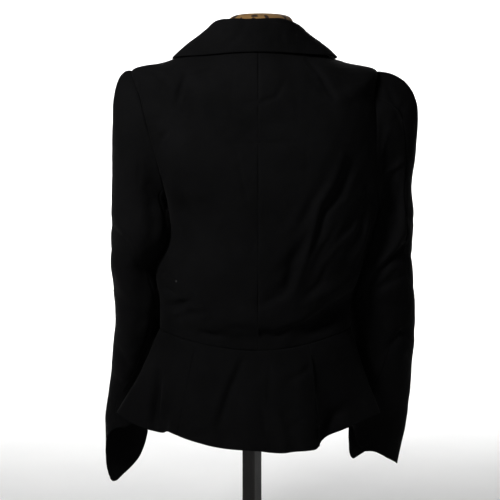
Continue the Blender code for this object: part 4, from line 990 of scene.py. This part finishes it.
def add_object(name, data):
    """A new object of finished data, in the scene."""
    thing = bpy.data.objects.new(name, data)
    bpy.context.scene.collection.objects.link(thing)
    return thing


def mesh_data(name, mesh):
    """A finished bmesh as mesh data."""
    data = bpy.data.meshes.new(name)
    mesh.to_mesh(data)
    mesh.free()
    data.shade_smooth()
    return data


def shell(name, outer, inner, uv):
    """A closed shell from its outer and inner sides, joined round their rim, with a UV map in
    metres of cloth."""
    rows, columns = outer.shape[:2]
    front = np.arange(rows * columns).reshape(rows, columns)
    quads = []
    for grid, order in ((front, (0, 1, 2, 3)), (front + rows * columns, (3, 2, 1, 0))):
        corners = (grid[:-1, :-1], grid[1:, :-1], grid[1:, 1:], grid[:-1, 1:])
        quads.append(np.stack([corners[k].ravel() for k in order], axis=1))
    rim = np.concatenate([front[:, 0], front[-1, 1:], front[-2::-1, -1], front[0, -2:0:-1]])
    after = np.roll(rim, -1)
    quads.append(np.stack([after, rim, rim + rows * columns, after + rows * columns], axis=1))
    faces = np.concatenate(quads)

    data = bpy.data.meshes.new(name)
    places = np.concatenate([outer.reshape(-1, 3), inner.reshape(-1, 3)])
    data.from_pydata(places.tolist(), [], faces.tolist())
    flat = np.concatenate([uv.reshape(-1, 2)] * 2)
    layer = data.uv_layers.new(name="cloth")
    layer.data.foreach_set("uv", flat[faces.ravel()].astype(np.float32).ravel())
    data.shade_smooth()
    return add_object(name, data)


def dress(piece, material, slot, *replaced):
    """Give a finished piece its material and its place in the part."""
    piece.data.materials.clear()
    piece.data.materials.append(material)
    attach(piece, "root")
    if replaced:
        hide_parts(*replaced)


# ---------------------------------------------------------------- small pieces

def on_seat(seat, outward, across, along, lift):
    """A point beside a place on the cloth: across it to +X, up along it, and lifted off it."""
    side = Vector((0.0, 0.0, 1.0)).cross(-outward).normalized()
    side = side if side.x > 0 else -side
    up = side.cross(outward).normalized()
    up = up if up.z > 0 else -up
    return seat + side * across + up * along + outward * lift


END_WIDTH = 0.5              # a tube is this much thinner at its two ends


def joined_tubes(name, lines, radius, sides=5):
    """Many short tubes, each along its own few points with a closed and rounded end, in one
    mesh."""
    mesh = bmesh.new()
    turns = [2 * math.pi * s / sides for s in range(sides)]
    for line in lines:
        rings = []
        for k, point in enumerate(line):
            ahead = (line[min(k + 1, len(line) - 1)] - line[max(k - 1, 0)]).normalized()
            first = ahead.orthogonal() if k == 0 else first - ahead * first.dot(ahead)
            first.normalize()
            second = ahead.cross(first)
            width = radius * (END_WIDTH if k in (0, len(line) - 1) else 1.0)
            rings.append([mesh.verts.new(point + width * (first * math.cos(turn)
                                                          + second * math.sin(turn)))
                          for turn in turns])
        for lower, upper in zip(rings, rings[1:]):
            for s in range(sides):
                after = (s + 1) % sides
                mesh.faces.new((lower[s], lower[after], upper[after], upper[s]))
        mesh.faces.new(rings[0][::-1])
        mesh.faces.new(rings[-1])
    bmesh.ops.recalc_face_normals(mesh, faces=mesh.faces)
    return add_object(name, mesh_data(name, mesh))


def buttonhole_lines(front):
    """The bars of purl thread round a level buttonhole that starts under the button."""
    lines = []
    for k in range(HOLE_STITCHES):
        x = BUTTON_X + HOLE_START - HOLE_LENGTH * k / (HOLE_STITCHES - 1)
        seat, outward = seat_on(front, x, BUTTON_Z)
        for up in (1.0, -1.0):
            lines.append([on_seat(seat, outward, 0.0, up * along, lift)
                          for along, lift in STITCH_BENDS])
    return lines


def button_thread_lines(seat, outward):
    """Two bars of thread through the button's four holes, and a second strand beside each."""
    top = BUTTON_THICKNESS - BUTTON_DISH
    reach = BUTTON_HOLE_SPREAD * math.sin(math.pi / 4)
    return [[on_seat(seat, outward, across + beside, share * reach, top + lift)
             for share, lift in THREAD_BENDS]
            for across in (-reach, reach) for beside in (-THREAD_BESIDE, THREAD_BESIDE)]


COVER_MERGE = 1e-5
COVER_FLAT = 60.0            # degrees: triangles that meet more flatly than this become quads
COVER_LEVELS = 2


def form_cover():
    """The form's jersey-covered body: its solid, made smooth."""
    bpy.ops.object.select_all(action="DESELECT")
    mesh = bmesh.new()
    mesh.from_mesh(nodes["form_torso"].data)
    bmesh.ops.remove_doubles(mesh, verts=mesh.verts, dist=COVER_MERGE)
    bmesh.ops.join_triangles(mesh, faces=mesh.faces,
                             angle_face_threshold=math.radians(COVER_FLAT),
                             angle_shape_threshold=math.radians(COVER_FLAT))
    thing = add_object("form_cover", mesh_data("form_cover", mesh))
    rounder = thing.modifiers.new("rounder", "SUBSURF")
    rounder.levels = COVER_LEVELS
    rounder.render_levels = COVER_LEVELS
    bpy.context.view_layer.objects.active = thing
    thing.select_set(True)
    bpy.ops.object.modifier_apply(modifier=rounder.name)
    thing.select_set(False)
    thing.data.shade_smooth()
    return thing


# ---------------------------------------------------------------- materials

class Look:
    """A material's node tree, with short ways to add and join its nodes."""

    def __init__(self, name, **values):
        self.material = bpy.data.materials.new(name)
        self.material.use_nodes = True
        self.tree = self.material.node_tree
        self.shader = self.tree.nodes["Principled BSDF"]
        for socket, value in values.items():
            self.shader.inputs[socket.replace("_", " ")].default_value = value

    def node(self, kind, values=(), output=0, **settings):
        """A new node, its settings, and a source or a constant for each socket: its output."""
        made = self.tree.nodes.new("ShaderNode" + kind)
        for key, value in settings.items():
            setattr(made, key, value)
        for socket, value in dict(values).items():
            if isinstance(value, bpy.types.NodeSocket):
                self.tree.links.new(value, made.inputs[socket])
            else:
                made.inputs[socket].default_value = value
        return made.outputs[output]

    def finish(self, **sources):
        """The finished material, with a source for each of these sockets of its shader."""
        for socket, source in sources.items():
            self.tree.links.new(source, self.shader.inputs[socket.replace("_", " ")])
        return self.material

    def coordinates(self, output="Object", scale=(1.0, 1.0, 1.0), turn=(0.0, 0.0, 0.0)):
        """Object or UV coordinates through a Mapping node."""
        return self.node("Mapping", {"Vector": self.node("TexCoord", output=output),
                                     "Scale": scale, "Rotation": turn})

    def noise(self, vector, scale, detail=3.0, roughness=0.5, output="Fac"):
        """Cloudy noise, from 0 to 1 or as a colour."""
        return self.node("TexNoise", {"Vector": vector, "Scale": scale, "Detail": detail,
                                      "Roughness": roughness}, output)

    def ribs(self, vector, scale, distortion, detail, direction="X"):
        """Even waves that run one way."""
        return self.node("TexWave", {"Vector": vector, "Scale": scale, "Distortion": distortion,
                                     "Detail": detail, "Detail Scale": 1.0}, "Fac",
                         bands_direction=direction)

    def ramp(self, factor, *stops):
        """Colours between stops of (place, colour)."""
        colour = self.node("ValToRGB", {"Fac": factor}, "Color")
        band = colour.node.color_ramp
        while len(band.elements) < len(stops):
            band.elements.new(0.5)
        for element, (place, shade) in zip(band.elements, stops):
            element.position = place
            element.color = (*shade, 1.0)
        return colour

    def range(self, factor, low, high, start=0.0, stop=1.0):
        """A factor that goes from start to stop, as one that goes from low to high."""
        return self.node("MapRange", {"Value": factor, "From Min": start, "From Max": stop,
                                      "To Min": low, "To Max": high})

    def blend(self, factor, colour, over):
        """A colour, and over it another one where the factor is high."""
        return self.node("Mix", {"Factor": factor, 6: colour, 7: (*over, 1.0)}, 2,
                         data_type="RGBA")

    def bump(self, height, distance, strength, under=None):
        """Relief, over another one where there is one."""
        below = {} if under is None else {"Normal": under}
        return self.node("Bump", {"Height": height, "Distance": distance, "Strength": strength,
                                  **below})


LINT_AT = (0.113, 0.0608, 0.511)       # a speck of lint on the back
LINT_RADIUS = 0.0020
LINT_COLOUR = (0.06, 0.06, 0.058)
LINT_COVER = 0.8
TWILL_TURN = -63             # degrees, of its ribs on the cloth
TWILL_PITCH = 0.00062
WAVE_SCALE = 20.0 / (2 * math.pi)      # a wave texture of scale 1 has this many waves a metre
SPOT_SIZE = (0.34, 0.42)     # a spot's dark part and its edge, as shares of a cell
SPOT_COLOUR = (0.022, 0.012, 0.008)
SPOT_RIPPLE = 0.012
POST_CORNER = 0.0155         # from the post's axis to its rounded edges
POST_EDGE_HIGHLIGHT_WIDTH = 0.0012            # how wide the painted highlight along an edge is
# the colour and strength of the painted highlight along the post's edges
POST_EDGE_HIGHLIGHT_COLOUR = (0.075, 0.072, 0.070)
POST_EDGE_HIGHLIGHT_COVER = 0.55


def suiting_look():
    """Black wool suiting: a fine twill, soft rumples and a very dull, slightly uneven black."""
    look = Look("black_suiting", Sheen_Weight=0.007, Sheen_Roughness=0.45,
                Specular_IOR_Level=0.035)
    place = look.coordinates()
    thread = look.coordinates("UV")
    twill = look.coordinates("UV", turn=(0.0, 0.0, math.radians(TWILL_TURN)))

    patches = look.noise(place, 14.0, 4.0, 0.6)
    fibres = look.noise(look.coordinates("UV", scale=(900.0, 160.0, 1.0)), 1.0, 2.0)
    shade = look.node("Math", {0: fibres, 1: 0.35, 2: patches}, operation="MULTIPLY_ADD")
    wool = look.ramp(shade, (0.42, (0.0022, 0.0022, 0.0024)), (0.62, (0.0032, 0.0032, 0.0034)),
                     (0.90, (0.0045, 0.0045, 0.0048)))
    from_lint = look.node("VectorMath", {0: place, 1: LINT_AT}, "Value", operation="DISTANCE")
    lint = look.range(from_lint, 0.0, LINT_COVER, LINT_RADIUS, 0.5 * LINT_RADIUS)

    ribs = look.ribs(twill, 1.0 / (WAVE_SCALE * TWILL_PITCH), 0.6, 1.0)
    weave = look.bump(look.noise(thread, 1600.0, 2.0), 0.00006, 0.5,
                      look.bump(ribs, 0.00010, 0.6))
    rumples = look.bump(look.noise(place, 95.0, 3.0, 0.55), 0.0009, 0.35, weave)
    soft = look.bump(look.noise(place, 32.0, 2.0), 0.0025, 0.35, rumples)
    return look.finish(Base_Color=look.blend(lint, wool, LINT_COLOUR),
                       Roughness=look.range(patches, 0.78, 0.98), Normal=soft)


def jersey_look():
    """Golden brown jersey with dark, irregular spots and fine knit ribs."""
    look = Look("form_jersey", Roughness=0.85, Sheen_Weight=0.06, Specular_IOR_Level=0.2)
    place = look.coordinates()
    warm = look.ramp(look.noise(place, 22.0), (0.3, (0.16, 0.085, 0.028)),
                     (0.7, (0.27, 0.155, 0.055)))
    wavy = look.node("VectorMath", {0: look.noise(place, 70.0, 2.0, output="Color"),
                                    1: (SPOT_RIPPLE,) * 3, 2: place}, operation="MULTIPLY_ADD")
    cells = look.node("TexVoronoi", {"Vector": wavy, "Scale": 85.0, "Randomness": 0.9},
                      "Distance")
    dark, edge = SPOT_SIZE
    spots = look.ramp(cells, (0.0, (1.0, 1.0, 1.0)), (dark, (1.0, 1.0, 1.0)),
                      (edge, (0.0, 0.0, 0.0)))
    knit = look.ribs(place, 180.0, 1.5, 2.0, "Z")
    return look.finish(Base_Color=look.blend(spots, warm, SPOT_COLOUR),
                       Normal=look.bump(knit, 0.0002, 0.5))


def horn_look():
    """Near-black horn with faint cloudy streaks."""
    look = Look("button_horn", Specular_IOR_Level=0.45)
    cloud = look.noise(look.coordinates(scale=(1.0, 1.0, 3.0)), 260.0, 4.0, 0.65)
    return look.finish(Base_Color=look.ramp(cloud, (0.35, (0.006, 0.005, 0.005)),
                                            (0.75, (0.022, 0.018, 0.015))),
                       Roughness=look.range(cloud, 0.26, 0.5),
                       Normal=look.bump(cloud, 0.0001, 0.3))


def thread_look():
    """Black silk thread, twisted."""
    look = Look("thread", Roughness=0.55, Sheen_Weight=0.05, Specular_IOR_Level=0.3)
    twist = look.noise(look.coordinates(), 2500.0, 2.0)
    return look.finish(Base_Color=look.ramp(twist, (0.3, (0.006, 0.006, 0.006)),
                                            (0.7, (0.016, 0.016, 0.017))),
                       Normal=look.bump(twist, 0.0001, 0.5))


def post_look():
    """Brown-black paint on a square post: streaks along it, and a light grey painted highlight
    along its edges.
    """
    look = Look("post_paint", Specular_IOR_Level=0.4)
    place = look.coordinates()
    streaks = look.noise(look.coordinates(scale=(1.0, 1.0, 0.05)), 240.0, 4.0, 0.6)
    blotches = look.noise(look.coordinates(scale=(1.0, 1.0, 0.35)), 46.0, 4.0, 0.65)
    both = look.node("Math", {0: streaks, 1: blotches}, operation="MULTIPLY")
    paint = look.ramp(both, (0.12, (0.003, 0.0025, 0.002)), (0.24, (0.008, 0.0065, 0.0055)),
                      (0.36, (0.015, 0.012, 0.0105)), (0.46, (0.034, 0.032, 0.033)))
    level = look.node("VectorMath", {0: place, 1: (1.0, 1.0, 0.0)}, operation="MULTIPLY")
    from_axis = look.node("VectorMath", {0: level}, "Value", operation="LENGTH")
    # painted highlight: light grey along the post's four edges, where the surface is farthest from
    # its axis
    wear_and_highlight = look.range(from_axis, 0.0, POST_EDGE_HIGHLIGHT_COVER, POST_CORNER - POST_EDGE_HIGHLIGHT_WIDTH, POST_CORNER)
    return look.finish(Base_Color=look.blend(wear_and_highlight, paint, POST_EDGE_HIGHLIGHT_COLOUR),
                       Roughness=look.range(blotches, 0.58, 0.34),
                       Normal=look.bump(look.noise(place, 900.0, 2.0), 0.00005, 0.4))


def enamel_look():
    """Satin black enamel with a faint orange peel and dusty, rubbed patches."""
    look = Look("base_enamel", Coat_Weight=0.15, Coat_Roughness=0.3)
    place = look.coordinates()
    # here only real wear: the dusty, rubbed patches of the enamel
    wear_and_highlight = look.noise(place, 18.0, 5.0, 0.6)
    return look.finish(Base_Color=look.ramp(wear_and_highlight, (0.4, (0.016, 0.016, 0.017)),
                                            (0.75, (0.045, 0.044, 0.042))),
                       Roughness=look.range(wear_and_highlight, 0.34, 0.62),
                       Normal=look.bump(look.noise(place, 420.0, 2.0), 0.0001, 0.35))


def floor_look():
    """Pale matt paper, with a hardly visible mottle."""
    look = Look("pale_floor", Roughness=0.9, Specular_IOR_Level=0.2)
    mottle = look.noise(look.coordinates(), 3.0, 4.0)
    return look.finish(Base_Color=look.ramp(mottle, (0.3, (0.80, 0.80, 0.80)),
                                            (0.7, (0.84, 0.84, 0.835))))


# ---------------------------------------------------------------- floor, light and camera

def set_stage():
    """A pale floor, a backdrop that rises behind it on a wide bend, and a white surround."""
    bpy.ops.object.select_all(action="DESELECT")
    bpy.ops.mesh.primitive_grid_add(x_subdivisions=FLOOR_STEPS, y_subdivisions=FLOOR_STEPS,
                                    size=FLOOR_SIZE, location=(0.0, 0.0, 0.0))
    floor = bpy.context.active_object
    floor.name = "floor"
    bpy.ops.object.transform_apply(location=True, rotation=True, scale=True)
    floor.data.materials.append(floor_look())

    bpy.ops.mesh.primitive_grid_add(x_subdivisions=2, y_subdivisions=WALL_STEPS, size=1.0)
    wall = bpy.context.active_object
    wall.name = "backdrop"
    bend = WALL_CURVE * math.pi / 2
    for vertex in wall.data.vertices:
        along = (0.5 - vertex.co.y) * (bend + WALL_RISE)
        turn = min(along / WALL_CURVE, math.pi / 2)
        rise = WALL_CURVE * (1.0 - math.cos(turn)) + max(along - bend, 0.0)
        vertex.co = (vertex.co.x * FLOOR_SIZE, WALL_FOOT - WALL_CURVE * math.sin(turn),
                     WALL_LIFT + rise)
    wall.data.materials.append(floor_look())
    wall.data.shade_smooth()

    world = bpy.data.worlds.new("white surround")
    world.use_nodes = True
    surround = world.node_tree.nodes["Background"]
    surround.inputs["Color"].default_value = (1.0, 1.0, 1.0, 1.0)
    surround.inputs["Strength"].default_value = SURROUND
    bpy.context.scene.world = world


def aim(thing, place, target):
    """Put a lamp or the camera at its place, facing a target."""
    thing.location = place
    way = Vector(target) - Vector(place)
    thing.rotation_euler = way.to_track_quat("-Z", "Y").to_euler()


def area_light(lamp):
    """A round soft lamp that the camera doesn't see."""
    data = bpy.data.lights.new(lamp.name, "AREA")
    data.shape = "DISK"
    data.size = lamp.size
    data.spread = math.radians(lamp.spread)
    data.energy = lamp.power
    light = add_object(lamp.name, data)
    light.visible_camera = False
    aim(light, lamp.place, lamp.aim)


def set_camera():
    """The photo's view: square to the back, from a little above."""
    data = bpy.data.cameras.new("camera")
    data.lens = CAMERA_LENS
    camera = add_object("camera", data)
    aim(camera, CAMERA_FROM, CAMERA_TO)
    bpy.context.scene.camera = camera


# ---------------------------------------------------------------- build

# how each piece of cloth is held, and by what: SIDE is the side that the piece is on
Hold = namedtuple("Hold", "held rests_on")


def facing_out(grid, side):
    """A grid whose rows run the way that makes its cloth face outwards."""
    return [row[::-1] for row in grid] if side == "left" else grid


def cloth_pieces(backs, fronts):
    """Every panel of the blazer, from the coarse grids of its bodice: for each node, its piece
    of cloth, the size that it is cut to and its area."""
    pieces = {}

    def cut(node, grid, creases=(), fold=None, **edges):
        """Make one panel, under its node's name."""
        pieces[node] = cloth_piece(node + "_cloth", grid, creases, fold, **edges)

    for side in SIDES:
        cut("back_" + side, facing_out(backs[side], side), BODY_CREASES, pressed_back)
    for side, inner in (("left", "first"), ("right", "last")):
        cut("front_" + side, facing_out(fronts[side], side), BODY_CREASES, free=(inner,))

    for side, sign in SIDES.items():
        arm = ARMS[side]
        loop = with_folds([row[-1] for row in backs[side][ARMHOLE_ROW:UNDERARM_ROW + 1]])
        loop += [row[0] for row in fronts[side][UNDERARM_ROW - 1:ARMHOLE_ROW:-1]]
        halves = sleeve_panels(sleeve(loop, arm, sign), arm.hind_column)
        for part, grid in zip(("top", "under"), halves):
            cut("sleeve_%s_%s" % (side, part), grid[:, ::-1] if side == "right" else grid,
                SLEEVE_CREASES[side], lambda fine, arm=arm: pressed_sleeve(fine, arm.folds),
                top_gap=ARMHOLE_HALF, free=("foot",))

    waist = with_folds(backs["left"][-1])[:0:-1] + with_folds(backs["right"][-1])
    between = [k for k, point in enumerate(waist) if abs(point.x) < PEPLUM_SEAM_X * MM]
    first, last = between[0], between[-1]
    left_run = fronts["left"][-1][::-1] + waist[1:first + 1]
    right_run = waist[last:] + fronts["right"][-1][1:]
    for node, grid, free in (
            ("peplum_back", peplum_panel(waist[first:last + 1]), ("foot",)),
            ("peplum_front_left", peplum_panel(left_run, 1.0, -1.0), ("foot", "first")),
            ("peplum_front_right", peplum_panel(right_run, -1.0, 1.0), ("foot", "last"))):
        cut(node, grid, PEPLUM_CREASES, free=free)

    cut("collar", collar_grid(), COLLAR_CREASES, free=("top", "foot", "last"))
    for side, end in (("left", LAPEL_END_LEFT), ("right", LAPEL_END_RIGHT)):
        cut("lapel_" + side, facing_out(lapel_grid(fronts[side], SIDES[side], end), side),
            free=("top", "foot", "first", "last"))
    return pieces


def dress_cloth(pieces):
    """Give every panel its wool and its place, hide its node, and print its cut size and area."""
    suiting = suiting_look()
    for node, (piece, flat, area) in pieces.items():
        dress(piece, suiting, "cloth", node)
    for node, (piece, flat, area) in pieces.items():
        area = min(max(area, SLIM_SHARE * flat[0] * flat[1]), flat[0] * flat[1])
        print("cut %-20s %.3f x %.3f m, area %.4f m2" % (node, *flat, area))


def dress_button(front):
    """The buttonhole, and the thread in the button."""
    thread = thread_look()
    seat, outward = seat_on(front, BUTTON_X, BUTTON_Z)
    hole = joined_tubes("buttonhole", buttonhole_lines(front), STITCH_RADIUS)
    dress(hole, thread, "cloth")
    strands = joined_tubes("button_thread",
                           button_thread_lines(seat + outward * BUTTON_GAP, outward),
                           THREAD_RADIUS)
    dress(strands, thread, "button")


def main():
    """Stage the view, then dress every node of the part."""
    bpy.ops.object.select_all(action="DESELECT")
    bpy.context.scene.view_settings.view_transform = "Standard"
    set_camera()
    set_stage()
    for lamp in LAMPS:
        area_light(lamp)

    cover = form_cover()
    dress(cover, jersey_look(), "form_cover", "form_torso")

    backs = {"left": back_panel(BACK_EDGE_LEFT, 1.0), "right": back_panel(BACK_EDGE_RIGHT, -1.0)}
    fronts = {"left": front_panel(FRONT_EDGE_LEFT, backs["left"], 1.0, -1.0),
              "right": front_panel(FRONT_EDGE_RIGHT, backs["right"], -1.0, 1.0)}
    dress_cloth(cloth_pieces(backs, fronts))
    dress_button(fronts["right"])

    for node, look in (("button", horn_look()), ("form_pole", post_look()),
                       ("form_base", enamel_look())):
        for slot in nodes[node].material_slots:
            slot.material = look


main()
